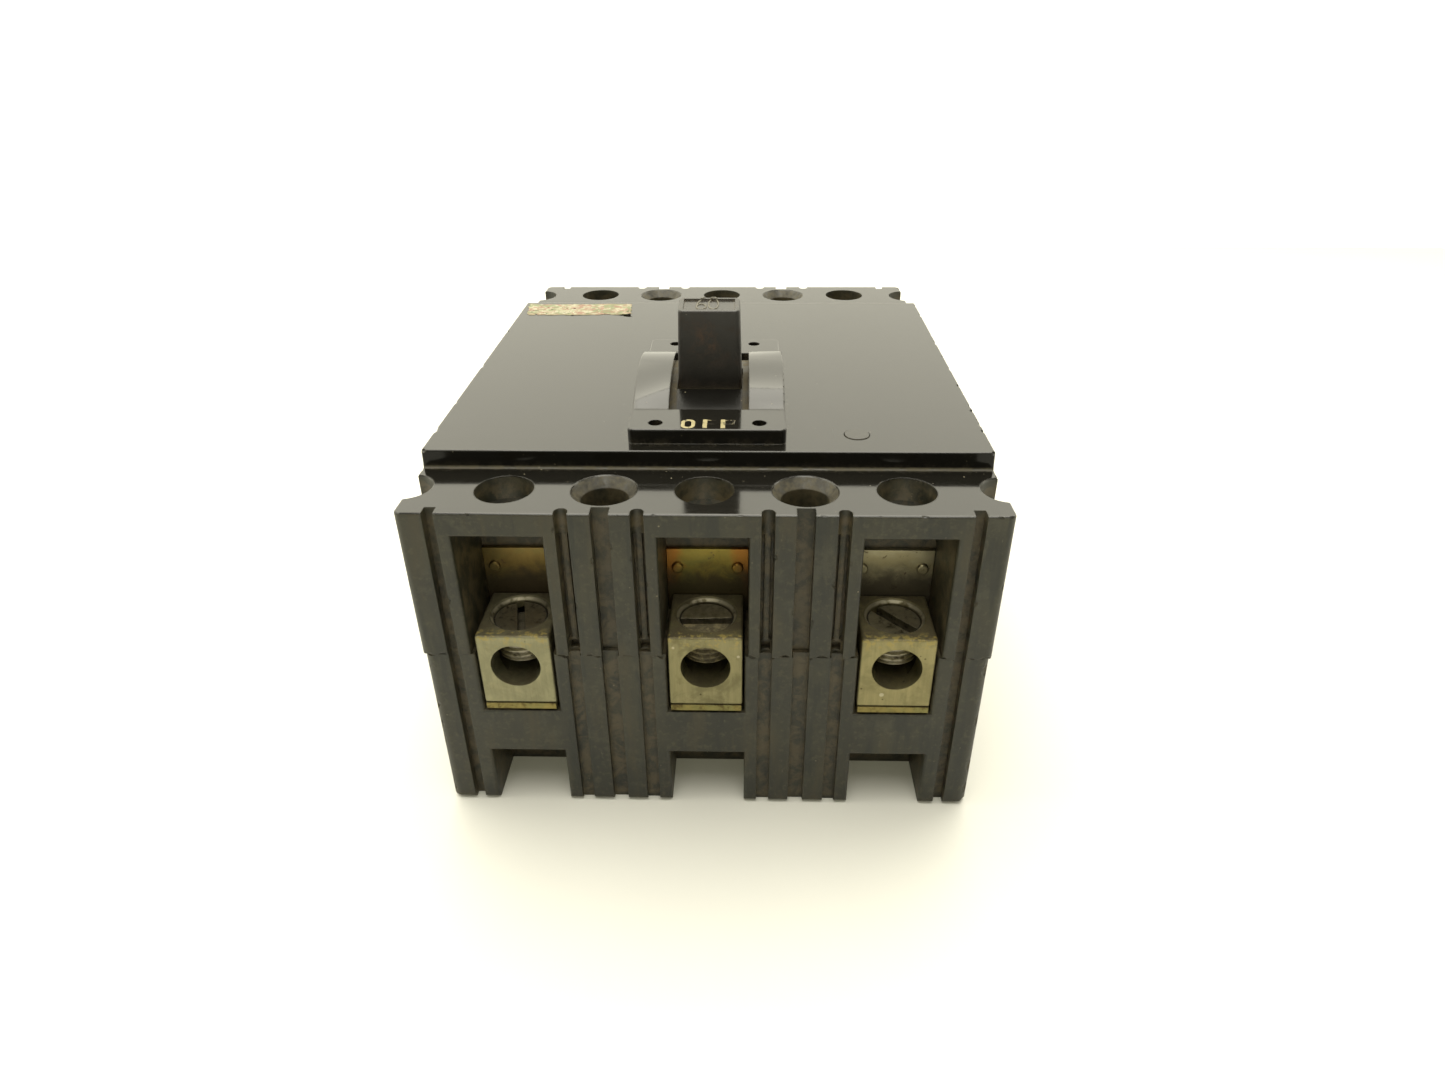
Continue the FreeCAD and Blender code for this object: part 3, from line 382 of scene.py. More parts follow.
# ---------------------------------------------------------------- metals
def metal(name, base, stain, rough, seed, stain_share=0.5, rust=0.0, mottle=380, pit=0.4,
          tint=None, dirt=0.5, dirt_color=(0.035, 0.026, 0.014)):
    """Handled metal: mottled oxide, stains, optional rust spots, dirt in the corners."""
    m = Shader(name)
    mottling = m.noise(mottle, seed=seed + 1, detail=6, rough=0.68, warp=0.4)
    broad = m.noise(120, seed=seed + 2)
    fine = m.noise(2600, seed=seed + 3, detail=3)
    m.color = m.mix(mottling.ramp(off=0.30, on=0.72), shade(base, 0.72), shade(base, 1.12))
    if tint:
        m.paint(m.noise(150, seed=seed + 8, detail=3, warp=1.2).ramp(off=0.42, on=0.64) * 0.55,
                tint)
    shift = 0.12 * stain_share
    m.paint(mottling.ramp(off=0.56 - shift, on=0.44 - shift) * 0.75, stain)
    m.paint(broad.ramp(off=0.52, on=0.70) * (0.35 * stain_share), stain)
    rusty = 0.0
    if rust:
        spots = m.noise(700, seed=seed + 5, detail=5, rough=0.7, warp=0.8)
        rusty = spots.ramp(off=0.66 - 0.16 * rust, on=0.74 - 0.16 * rust) * 0.85
        m.paint(rusty, (0.10, 0.040, 0.012))
    corner = m.corners(0.0016, off=0.80, on=0.30)
    m.paint(corner * dirt, dirt_color)
    roughness = corner.max(rusty).lerp(mottling.lerp(at0=rough * 1.25, at1=rough * 0.8), 0.75)
    metallic = (corner * 0.7).max(rusty).lerp(at0=1.0, at1=0.15)
    return m.finish(roughness, metal=metallic,
                    normal=m.bump(fine * 0.6 + mottling * pit, distance=0.00008, strength=0.8,
                                  normal=m.rounded(0.00018)))


def shield_plate(name, base, low, tint, rust, seed, corner=None):
    """Plated steel guard: coloured passivation that fades into painted shade towards the lower
    edge.
    """
    m = Shader(name)
    x, y, z = m.xyz("Object")
    mottling = m.noise(240, seed=seed, detail=5, rough=0.65, warp=0.8)
    band = m.streaks((120, 120, 260), seed=seed + 1, detail=3)
    m.color = m.mix(mottling.ramp(off=0.30, on=0.70), shade(base, 0.80), base)
    m.paint(band.ramp(off=0.45, on=0.68) * 0.6, tint)
    if corner:
        reach = from_pole(x) + (z - 0.048) * 0.25 + (mottling - 0.5) * 0.006
        m.paint(reach.ramp(off=0.0055, on=0.0085) * 0.8, corner)
    spots = m.noise(430, seed=seed + 3, detail=5, rough=0.7, warp=0.6)
    rusty = spots.ramp(off=0.64 - rust * 0.12, on=0.72 - rust * 0.12) * 0.85
    m.paint(rusty, (0.075, 0.040, 0.016))
    # painted shade: darker, rougher and less metallic towards the lower edge
    painted_low_shade = (z + (mottling - 0.5) * 0.008).ramp(off=0.0525, on=0.0465)
    m.paint(painted_low_shade * 0.85, low)
    rough = painted_low_shade.max(rusty).lerp(at0=0.34, at1=0.62)
    metallic = (painted_low_shade * 0.8).max(rusty).lerp(at0=0.95, at1=0.20)
    height = m.noise(2400, seed=seed + 4, detail=3) * 0.5 + mottling * 0.5
    return m.finish(rough, metal=metallic,
                    normal=m.bump(height, distance=0.00006, strength=0.7,
                                  normal=m.rounded(0.00015)))


def lug_metal(name, base, seed, stain, spots, corner_dirt):
    """Aluminium connector: satin, fine upright scratches, dull stains and grease on top."""
    m = Shader(name)
    x, y, z = m.xyz("Object")
    scratch = m.streaks((1500, 1500, 110), seed=seed, turn=(0, 0.12, 0), rough=0.65)
    mottling = m.noise(300, seed=seed + 1, warp=0.3)
    fine = m.noise(2600, seed=seed + 3, detail=3)
    m.color = m.mix(scratch.ramp(off=0.30, on=0.70), shade(base, 0.90), shade(base, 1.08))
    dull = m.noise(190, seed=seed + 7, rough=0.65, warp=0.5).ramp(off=0.44, on=0.62)
    m.paint(dull * (0.60 * stain), shade(base, 0.50))
    m.paint(mottling.ramp(off=0.56, on=0.70) * (0.45 * stain), (0.11, 0.090, 0.042))
    pits = m.specks(900, share=0.16 * spots, size=0.20, seed=seed + 4)
    m.paint(pits * 0.75, (0.045, 0.035, 0.018))
    pale = m.specks(620, share=0.07 * spots, size=0.22, seed=seed + 5)
    m.paint(pale * 0.5, (0.55, 0.51, 0.38))
    # grease on the top face, left out of a pale ring around the screw that is a painted highlight
    # of the hole's chamfer
    top = m.xyz("Normal")[2].ramp(off=0.5, on=0.8)
    from_x = from_pole(x)
    from_y = abs(y) - SCREW_Y * MM
    radius = (from_x * from_x + from_y * from_y).sqrt()
    rim = (radius.ramp(off=0.0062, on=0.0059) * radius.ramp(off=0.0050, on=0.0054)
           * z.ramp(off=0.0428, on=0.0436))
    grease = top * mottling.ramp(off=0.38, on=0.60).lerp(at0=0.45, at1=0.85)
    m.paint(grease, (0.085, 0.070, 0.040))
    grease = grease * (1.0 - rim * 0.85)
    # painted highlight: the pale ring stands in for light caught by the chamfer of the screw hole
    m.paint(rim * mottling.ramp(off=0.62, on=0.48), (0.52, 0.48, 0.35))
    corner = m.corners(0.0016, off=0.74, on=0.30)
    m.paint(corner * 0.55, (0.05, 0.036, 0.018))
    if corner_dirt:
        place = abs(y).ramp(off=0.0725, on=0.0752) * z.ramp(off=0.0405, on=0.0440)
        shift = 0.12 * corner_dirt
        crust = place * m.noise(700, seed=seed + 6, rough=0.7).ramp(
            off=0.62 - shift, on=0.68 - shift)
        m.paint(crust * 0.8, (0.30, 0.235, 0.060))
    rounded = m.rounded(0.0003)
    edge = m.edges(rounded) * mottling.ramp(off=0.35, on=0.6)
    m.paint(edge * 0.35, shade(base, 1.5))
    rough = corner.max(grease * 0.6).lerp(mottling.lerp(at0=0.50, at1=0.36), 0.62)
    metallic = 0.88 - (grease * 0.45 + corner * 0.35)
    if corner_dirt:
        metallic = (metallic - crust * 0.6).max(0.1)
    height = fine * 0.4 + (scratch * 0.35 + mottling * 0.35)
    return m.finish(rough, metal=metallic,
                    normal=m.bump(height, distance=0.00006, strength=0.7, normal=rounded))


def packed_screw():
    """Centre load screw: dirt packed on the side away from the breaker's middle."""
    m = Shader("screw_aluminium_packed")
    x, y, z = m.xyz("Object")
    mottling = m.noise(700, seed=181.0, detail=5, rough=0.7, warp=0.4)
    outward = abs(y) - SCREW_Y * MM
    packed = (outward + (mottling - 0.5) * 0.0012).ramp(off=0.0004, on=0.0009)
    m.color = m.mix(mottling.ramp(off=0.35, on=0.65), (0.20, 0.185, 0.13), (0.34, 0.31, 0.23))
    m.paint(packed * 0.8, m.mix(mottling.ramp(off=0.40, on=0.62),
                                (0.075, 0.060, 0.028), (0.23, 0.19, 0.09)))
    corner = m.corners(0.0014, off=0.76, on=0.35)
    m.paint(corner * 0.85, (0.014, 0.011, 0.007))
    metallic = 0.9 - (packed * 0.6).max(corner * 0.6)
    height = m.noise(2600, seed=182.0, detail=3) + mottling * 0.8
    return m.finish(packed.max(corner).lerp(at0=0.36, at1=0.68), metal=metallic,
                    normal=m.bump(height, distance=0.00008, strength=0.8,
                                  normal=m.rounded(0.00018)))


# ---------------------------------------------------------------- fibre and paper
def shield_fibre():
    """Black curtain of the handle: shiny along the handle's path, dusty beside it."""
    m = Shader("shield_fibre_dusty")
    x, y, z = m.xyz("Object")
    weave = m.streaks((900, 300, 300), seed=40.0)
    cloud = m.noise(320, seed=41.0, rough=0.65)
    side = abs(x).ramp(off=0.0066, on=0.0073)
    rear = y.ramp(off=-0.0250, on=-0.0200)
    dust = side.max(rear) * cloud.ramp(off=0.36, on=0.62).lerp(at0=0.35, at1=1.0)
    m.color = m.mix(cloud, (0.0045, 0.0042, 0.0035), (0.0085, 0.0078, 0.0060))
    m.paint(dust * 0.80, m.mix(weave, (0.055, 0.044, 0.025), (0.130, 0.108, 0.066)))
    speck = m.specks(1500, share=0.16, size=0.18, seed=42.0)
    m.paint(speck * 0.6, DUST)
    return m.finish(dust.max(speck).lerp(at0=0.24, at1=0.75), spec=0.18,
                    normal=m.bump(weave, distance=0.00005, strength=0.5))


def faded_label():
    """Blank cream paper with rubbed pink and green patches and a scuffed surface."""
    m = Shader("label_faded")
    pink = m.noise(520, seed=84.0, rough=0.65, warp=0.8)
    cream = m.noise(330, seed=85.0, detail=3, warp=0.5)
    scuff = m.noise(900, seed=86.0, rough=0.7)
    near, far = LABEL_Y
    depth = m.math("DIVIDE", m.xyz("Object")[1] - near, far - near, clamp=True)
    m.color = m.mix(cream.ramp(off=0.35, on=0.65), (0.27, 0.25, 0.145), (0.37, 0.345, 0.235))
    m.paint(pink.ramp(off=0.46, on=0.55) * 0.85, (0.21, 0.085, 0.050))
    green = m.noise(400, seed=87.0, detail=3, warp=0.6)
    m.paint(green.ramp(off=0.48, on=0.57) * 0.80, (0.130, 0.160, 0.058))
    m.paint(scuff.ramp(off=0.58, on=0.68) * 0.55, (0.11, 0.08, 0.045))
    rim = depth.ramp(off=0.16, on=0.05).max(depth.ramp(off=0.86, on=0.95))
    m.paint(rim * (scuff.ramp(off=0.40, on=0.55) * 0.6), (0.24, 0.19, 0.10))
    return m.finish(pink.lerp(at0=0.38, at1=0.6),
                    normal=m.bump(pink * 0.6 + scuff, distance=0.00006, strength=0.8))


def fibre(name, low, high, seed):
    m = Shader(name)
    weave = m.streaks((300, 2200, 300), seed=seed)
    cloud = m.noise(200, seed=seed + 1)
    m.color = m.mix(weave, low, high)
    m.paint(cloud.ramp(off=0.42, on=0.68) * 0.35, (0.20, 0.16, 0.10))
    m.paint(m.specks(1600, share=0.2, size=0.2, seed=seed + 2) * 0.4, DUST)
    return m.finish(cloud.lerp(at0=0.45, at1=0.7),
                    normal=m.bump(weave, distance=0.00006, strength=0.6))


# ---------------------------------------------------------------- looks by slot or node
LOOKS = {
    "cover": phenolic("phenolic_black_cover", is_cover=True),
    "base": phenolic("phenolic_black_base", is_cover=False),
    "handle_black": handle_look(),
    "phenolic_black_button": simple_plastic(
        "button_black", low=(0.010, 0.009, 0.007), high=(0.020, 0.018, 0.013), rough=0.22,
        seed=20, dust=0.5),
    "phenolic_brown": simple_plastic(
        "phenolic_brown_inner", low=(0.045, 0.022, 0.011), high=(0.085, 0.042, 0.020),
        rough=0.42, seed=30),
    "shield_fibre": shield_fibre(),
    "fibre_board": fibre(
        "fibre_board_grey", low=(0.16, 0.13, 0.10), high=(0.26, 0.22, 0.17), seed=44),
    "zinc_steel": metal(
        "zinc_steel_used", base=(0.55, 0.53, 0.47), stain=(0.20, 0.17, 0.11), rough=0.34,
        seed=50, stain_share=0.35),
    "spring_steel": metal(
        "spring_steel_oiled", base=(0.30, 0.29, 0.27), stain=(0.10, 0.08, 0.06), rough=0.30,
        seed=55, stain_share=0.3),
    "copper": metal(
        "copper_toned", base=(0.72, 0.36, 0.20), stain=(0.25, 0.11, 0.055), rough=0.32, seed=60),
    "copper_braid": metal(
        "copper_braid_strands", base=(0.62, 0.30, 0.16), stain=(0.22, 0.10, 0.05), rough=0.42,
        seed=64, mottle=1600),
    "silver_contact": metal(
        "silver_contact_tarnished", base=(0.66, 0.63, 0.56), stain=(0.22, 0.18, 0.13),
        rough=0.28, seed=68),
    "bimetal_strip": metal(
        "bimetal_heat_tinted", base=(0.45, 0.42, 0.37), stain=(0.20, 0.12, 0.08), rough=0.30,
        seed=72, tint=(0.32, 0.20, 0.30)),
    "arc_steel": metal(
        "arc_plate_steel", base=(0.36, 0.35, 0.33), stain=(0.10, 0.07, 0.04), rough=0.42,
        seed=76, rust=0.4),
    "brass_plate": metal(
        "strap_passivated", base=(0.22, 0.18, 0.065), stain=(0.07, 0.05, 0.02), rough=0.36,
        seed=80, tint=(0.18, 0.18, 0.075)),
    "label_paper": faded_label(),
    "yellow_zinc": shield_plate(
        "yellow_zinc_left", base=(0.225, 0.160, 0.055), low=(0.035, 0.026, 0.013),
        tint=(0.185, 0.165, 0.062), rust=0.2, seed=90),
    "shield_plate_centre": shield_plate(
        "yellow_zinc_centre", base=(0.285, 0.225, 0.055), low=(0.040, 0.029, 0.014),
        tint=(0.205, 0.205, 0.062), rust=0.2, seed=94, corner=(0.34, 0.135, 0.028)),
    "white_zinc": shield_plate(
        "white_zinc_right", base=(0.340, 0.310, 0.200), low=(0.050, 0.040, 0.024),
        tint=(0.265, 0.230, 0.125), rust=0.45, seed=98),
}
# nodes whose look goes by their own name instead of their slot
OWN_LOOK = ["cover", "base", "shield_plate_centre"]

# pole, base colour, stain, spots, dirt in the corners (load side only)
LUGS = (
    ("left", (0.265, 0.250, 0.150), 0.55, 0.8, 0.9),
    ("centre", (0.235, 0.212, 0.110), 1.0, 1.8, 0.8),
    ("right", (0.262, 0.232, 0.115), 0.75, 1.5, 1.0),
)
for i, (pole, base, stain, spots, corner_dirt) in enumerate(LUGS):
    for side, seed, dirt in (("load", 110, corner_dirt), ("line", 140, 0.0)):
        LOOKS[f"{side}_lug_{pole}"] = lug_metal(
            f"lug_aluminium_{side}_{pole}", base, seed + 7 * i, stain, spots, dirt)
        OWN_LOOK.append(f"{side}_lug_{pole}")
LOOKS["screw_aluminium"] = metal(
    "screw_aluminium_grimy", base=(0.40, 0.37, 0.28), stain=(0.060, 0.045, 0.024), rough=0.36,
    seed=170, stain_share=0.7, mottle=520, pit=0.8, dirt=0.9, dirt_color=(0.018, 0.013, 0.008))
LOOKS["screw_packed"] = packed_screw()

slot_of = {part["node"]: part["material_slot"] for part in frame["record"]["subparts"]}
for node_name, part in NODES.items():
    look = LOOKS[node_name if node_name in OWN_LOOK else slot_of[node_name]]
    if not part.material_slots:
        part.data.materials.append(look)
    for slot in part.material_slots:
        slot.link = "OBJECT"
        slot.material = look


# ---------------------------------------------------------------- chipped edges
ALONG_X, ALONG_Y, ALONG_Z = 0, 1, 2    # axis a bite is stretched along


def unit_ball():
    """Directions and triangles of a small icosphere."""
    ball = bmesh.new()
    bmesh.ops.create_icosphere(ball, subdivisions=2, radius=1.0)
    ball.verts.ensure_lookup_table()
    directions = [v.co.normalized() for v in ball.verts]
    triangles = [[v.index for v in f.verts] for f in ball.faces]
    ball.free()
    return directions, triangles


def bite_lumps(spots, seed, scale):
    """Vertices and faces of a knobbly lump at each spot that is clear of the earlier ones."""
    draw = random.Random(seed).uniform
    directions, triangles = unit_ball()
    verts, faces, boxes = [], [], []
    for x, y, z, size, axis in spots:
        offset = Vector((draw(0, 50), draw(0, 50), draw(0, 50)))
        stretch = [1.0, 1.0, 1.0]
        if axis is not None:
            stretch[axis] = draw(1.2, 2.6)
        points = []
        for n in directions:
            reach = (1.0 + 0.42 * mnoise.noise(n * 1.7 + offset)) * scale * size
            points.append(((x + n.x * reach * stretch[0]) * MM,
                           (y + n.y * reach * stretch[1]) * MM,
                           (z + n.z * reach * stretch[2]) * MM))
        low = [min(p[i] for p in points) - 0.05 * MM for i in range(3)]
        high = [max(p[i] for p in points) + 0.05 * MM for i in range(3)]
        if any(all(low[i] < other_high[i] and other_low[i] < high[i] for i in range(3))
               for other_low, other_high in boxes):
            continue                       # bites must not run into each other
        boxes.append((low, high))
        first = len(verts)
        verts.extend(points)
        faces.extend([[i + first for i in triangle] for triangle in triangles])
    return verts, faces


def spans(mesh):
    return [max(c) - min(c) for c in zip(*[tuple(v.co) for v in mesh.vertices])]


def chip(node, spots, seed):
    """Bite a part's edges, trying other lump sizes until the cut leaves the part sound."""
    part = NODES[node]
    for scale in (1.45, 1.2, 1.0, 0.8):
        verts, faces = bite_lumps(spots, seed, scale)
        mesh = bpy.data.meshes.new(node + "_bites")
        mesh.from_pydata(verts, [], faces)
        mesh.update()
        mesh.materials.append(LOOKS[node])
        cutter = bpy.data.objects.new(node + "_bites", mesh)
        scene.collection.objects.link(cutter)
        cutter.hide_render = True
        cutter.hide_viewport = True
        bites = part.modifiers.new("bites", "BOOLEAN")
        bites.operation = "DIFFERENCE"
        bites.object = cutter
        bites.solver = "EXACT"
        bpy.context.view_layer.update()
        evaluated = part.evaluated_get(bpy.context.evaluated_depsgraph_get())
        cut = evaluated.to_mesh()
        sound = len(cut.vertices) > 0.3 * len(part.data.vertices) and all(
            abs(a - b) < 1.5 * MM for a, b in zip(spans(cut), spans(part.data)))
        evaluated.to_mesh_clear()
        if sound:
            break
        part.modifiers.remove(bites)
        bpy.data.objects.remove(cutter)
        bpy.data.meshes.remove(mesh)
    else:
        return
    creases = part.modifiers.new("creases", "EDGE_SPLIT")
    creases.split_angle = math.radians(32)


def cover_bites(draw):
    """Bites of the cover: x, y, z of the middle, size (mm), stretch axis."""
    bites = []
    for side in (-1, 1):
        y = -56.0
        while y < 44:                      # long top edges of the raised block
            y += draw(2.5, 9.0)
            bites.append((side * 56.45, y, 75.95, draw(0.30, 0.62), ALONG_Y))
        for y in (-74.6, -72.9, -60.2, -58.6, 60.5, 73.8):      # side edges of the ledges
            bites.append((side * 56.65, y + draw(-0.6, 0.6), 72.1, draw(0.30, 0.60), ALONG_Y))
        z = 42.0
        while z < 70:                      # upright front corners
            z += draw(3.0, 9.0)
            bites.append((side * 56.6, -76.2, z, draw(0.45, 0.80), ALONG_Z))
        bites.append((side * 56.1, -57.4, 75.9, 0.55, None))    # front corner of the block
    # top front edge
    bites += [(x + draw(-1, 1), -76.45, 72.1, draw(0.26, 0.42), ALONG_X) for x in (
        -52.6, -43.0, -33.5, -15.0, -9.3, -4.0, 6.2, 14.8, 22.4, 31.2, 40.1, 47.3, 53.0)]
    # lower front edge
    bites += [(x, -76.4, 39.95, draw(0.30, 0.55), ALONG_X) for x in (
        -55.6, -52.0, -46.8, -28.9, -22.8, -15.4, -9.4,
        8.9, 15.6, 23.1, 29.3, 46.9, 52.3, 55.4)]
    # anywhere up the front face
    bites += [(x, -76.3, draw(44, 70), draw(0.22, 0.38), ALONG_Z) for x in (
        -13.2, -10.7, -17.1, -20.5, -24.6, -27.1,
        10.7, 13.2, 17.1, 20.5, 24.6, 27.1, -49.0, 51.2)]
    return bites


def base_bites(draw):
    """Bites of the base, in the columns of cover_bites."""
    bites = []
    for side in (-1, 1):
        z = 0.0
        while z < 38:                      # upright front corners
            z += draw(3.5, 10.0)
            bites.append((side * 56.1, -75.9, z, draw(0.55, 0.85), ALONG_Z))
        bites.append((side * 55.6, -75.6, 0.1, 1.15, None))
    # bottom front edge
    bites += [(x, -75.9, 0.1, draw(0.35, 0.75), ALONG_X) for x in (
        -53.4, -46.9, -44.8, -30.8, -26.0, -16.0, -10.4, -7.7,
        7.7, 11.8, 22.0, 28.0, 31.0, 44.6, 48.0, 54.0)]
    # top front edge
    bites += [(x, -76.1, 39.9, draw(0.30, 0.50), ALONG_X) for x in (
        -55.0, -50.0, -31.6, -27.6, -21.2, -12.0, -8.2,
        9.4, 13.0, 20.0, 26.4, 30.6, 49.6, 55.2)]
    return bites


draw_bites = random.Random(4021).uniform
chip("cover", cover_bites(draw_bites), seed=51)
chip("base", base_bites(draw_bites), seed=53)


# ---------------------------------------------------------------- mesh helpers
def mesh_object(name, verts, faces, look):
    mesh = bpy.data.meshes.new(name)
    mesh.from_pydata([tuple(v) for v in verts], [], faces)
    mesh.validate()
    mesh.update()
    made = bpy.data.objects.new(name, mesh)
    scene.collection.objects.link(made)
    mesh.materials.append(look)
    return made


def smooth(mesh, sharp_degrees=None):
    mesh.polygons.foreach_set("use_smooth", [True] * len(mesh.polygons))
    if sharp_degrees is not None:
        mesh.set_sharp_from_angle(angle=math.radians(sharp_degrees))


def bilinear(a, b, c, d, u, v):
    """Point of the patch with corners a, b, c, d in turn."""
    return (a * (1 - u) + b * u) * (1 - v) + (d * (1 - u) + c * u) * v


def grid_face(i, j, columns):
    corner = j * (columns + 1) + i
    return (corner, corner + 1, corner + columns + 2, corner + columns + 1)


# ---------------------------------------------------------------- terminal screws
SCREW_RADIUS = 5.5 * MM
THREAD_PITCH = 1.25 * MM
THREAD_DEPTH = 0.52 * MM
SCREW_AROUND = 112          # points around
RINGS_PER_PITCH = 10
CAP_RINGS = 10
SLOT_DEPTH = 2.3 * MM
SLOT_STEPS = 14
LOAD_SCREW_Z = (35.4, 43.1)     # mm, bottom and top
LINE_SCREW_Z = (42.1, 49.8)
LINE_TURN = 35                  # degrees a line screw is turned beyond its load screw
# load screws: slot direction (degrees), slot width and offset (mm), look
LOAD_SLOTS = {
    "left": (103, 1.45, 0.0, "screw_aluminium"),
    "centre": (2, 1.9, -0.9, "screw_packed"),
    "right": (-48, 2.0, 0.0, "screw_aluminium"),
}


def thread_radius(z, around, low, top):
    """Radius at height z and at the share around of a turn."""
    phase = ((z - low) / THREAD_PITCH - around) % 1.0
    tooth = min(phase, 1 - phase) * 2      # 0 at root, 1 at crest
    tooth = min(1.0, max(0.0, (tooth - 0.12) / 0.70))
    radius = SCREW_RADIUS - THREAD_DEPTH * (1 - tooth)
    chamfer = 0.55 * MM if z < (low + top) / 2 else 0.26 * MM
    rise = min(z - low, top - z) / chamfer
    if rise < 1:
        radius = min(radius, SCREW_RADIUS - chamfer * (1 - rise) - 0.02 * MM)
    if top - z < 0.9 * MM:                 # last turn is worn nearly full
        radius = max(radius, SCREW_RADIUS - 0.12 * MM - max(0.0, chamfer * (1 - rise)))
    return radius


def close_end(verts, faces, first, x, y, z, sign, dish, seed):
    """Close the ring that starts at vertex first with a dished, scuffed cap facing sign z."""
    outer = [first + i for i in range(SCREW_AROUND)]
    radii = [math.hypot(verts[k][0] - x, verts[k][1] - y) for k in outer]
    for ring in range(1, CAP_RINGS):
        share = 1 - ring / CAP_RINGS
        inner = []
        for i in range(SCREW_AROUND):
            angle = 2 * math.pi * i / SCREW_AROUND
            radius = radii[i] * share
            scuff = mnoise.noise(Vector((radius * 900 * math.cos(angle),
                                         radius * 900 * math.sin(angle), seed + 5)))
            inner.append(len(verts))
            verts.append((x + radius * math.cos(angle), y + radius * math.sin(angle),
                          z - sign * dish * (1 - share * share) + sign * 0.03 * MM * scuff))
        for i in range(SCREW_AROUND):
            j = (i + 1) % SCREW_AROUND
            faces.append((outer[i], outer[j], inner[j], inner[i])[::sign])
        outer = inner
    centre = len(verts)
    verts.append((x, y, z - sign * dish))
    for i in range(SCREW_AROUND):
        faces.append((outer[i], outer[(i + 1) % SCREW_AROUND], centre)[::sign])


def slot_cutter(name, x, y, top, degrees, width, offset, draw):
    """Bar with uneven sides that cuts the driver slot; it widens upwards."""
    half_length = SCREW_RADIUS * 1.2
    half_top = width / 2 * 1.12
    profile = [(-width / 2, -SLOT_DEPTH), (width / 2, -SLOT_DEPTH),
               (half_top, 1 * MM), (-half_top, 1 * MM)]
    angle = math.radians(degrees)
    cos, sin = math.cos(angle), math.sin(angle)
    bar = bmesh.new()
    rows = []
    for step in range(SLOT_STEPS + 1):
        reach = -half_length + 2 * half_length * step / SLOT_STEPS
        row = []
        for across, height in profile:
            sideways = across + 0.05 * MM * draw(-1, 1) + offset
            row.append(bar.verts.new((x + reach * cos - sideways * sin,
                                      y + reach * sin + sideways * cos, top + height)))
        rows.append(row)
    for row, after in zip(rows[:-1], rows[1:]):
        for k in range(4):
            bar.faces.new((row[k], row[(k + 1) % 4], after[(k + 1) % 4], after[k]))
    bar.faces.new(rows[0][::-1])
    bar.faces.new(rows[-1])
    bmesh.ops.recalc_face_normals(bar, faces=bar.faces)
    mesh = bpy.data.meshes.new(name)
    bar.to_mesh(mesh)
    bar.free()
    cutter = bpy.data.objects.new(name, mesh)
    scene.collection.objects.link(cutter)
    return cutter


def threaded_screw(side, pole, x, y, heights, degrees, slot_width, slot_offset, look, seed):
    """Headless terminal screw with a cut thread, dished ends and a worn driver slot."""
    name = f"{side}_screw_threaded_{pole}"
    node = f"{side}_lug_screw_{pole}"
    x, y = x * MM, y * MM
    low, top = [height * MM for height in heights]
    length = top - low
    steps = int(length / THREAD_PITCH * RINGS_PER_PITCH)
    verts, faces = [], []
    for k in range(steps + 1):
        z = low + length * k / steps
        for i in range(SCREW_AROUND):
            angle = 2 * math.pi * i / SCREW_AROUND
            radius = thread_radius(z, i / SCREW_AROUND, low, top)
            radius += 0.012 * MM * mnoise.noise(Vector((angle * 3, z * 2200, seed)))
            verts.append((x + radius * math.cos(angle), y + radius * math.sin(angle), z))
    for k in range(steps):
        ring, above = k * SCREW_AROUND, (k + 1) * SCREW_AROUND
        for i in range(SCREW_AROUND):
            j = (i + 1) % SCREW_AROUND
            faces.append((ring + i, ring + j, above + j, above + i))
    close_end(verts, faces, steps * SCREW_AROUND, x, y, top, 1, 0.10 * MM, seed)
    close_end(verts, faces, 0, x, y, low, -1, 0.25 * MM, seed)
    screw = mesh_object(name, verts, faces, LOOKS[look])
    cutter = slot_cutter(name + "_cut", x, y, top, degrees, slot_width * MM, slot_offset * MM,
                         random.Random(seed).uniform)
    slot = screw.modifiers.new("slot", "BOOLEAN")
    slot.operation = "DIFFERENCE"
    slot.object = cutter
    slot.solver = "EXACT"
    depsgraph = bpy.context.evaluated_depsgraph_get()
    slotted = bpy.data.meshes.new_from_object(screw.evaluated_get(depsgraph))
    screw.modifiers.clear()
    screw.data = slotted
    bpy.data.objects.remove(cutter)
    smooth(slotted, sharp_degrees=38)
    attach(screw, node)
    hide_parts(node)


for pole, x in POLES:
    degrees, slot_width, slot_offset, look = LOAD_SLOTS[pole]
    threaded_screw("load", pole, x, -SCREW_Y, LOAD_SCREW_Z, degrees, slot_width, slot_offset,
                   look, seed=11 + int(x))
    threaded_screw("line", pole, x, SCREW_Y, LINE_SCREW_Z, degrees + LINE_TURN,
                   slot_width=1.5, slot_offset=0.0, look="screw_aluminium", seed=71 + int(x))


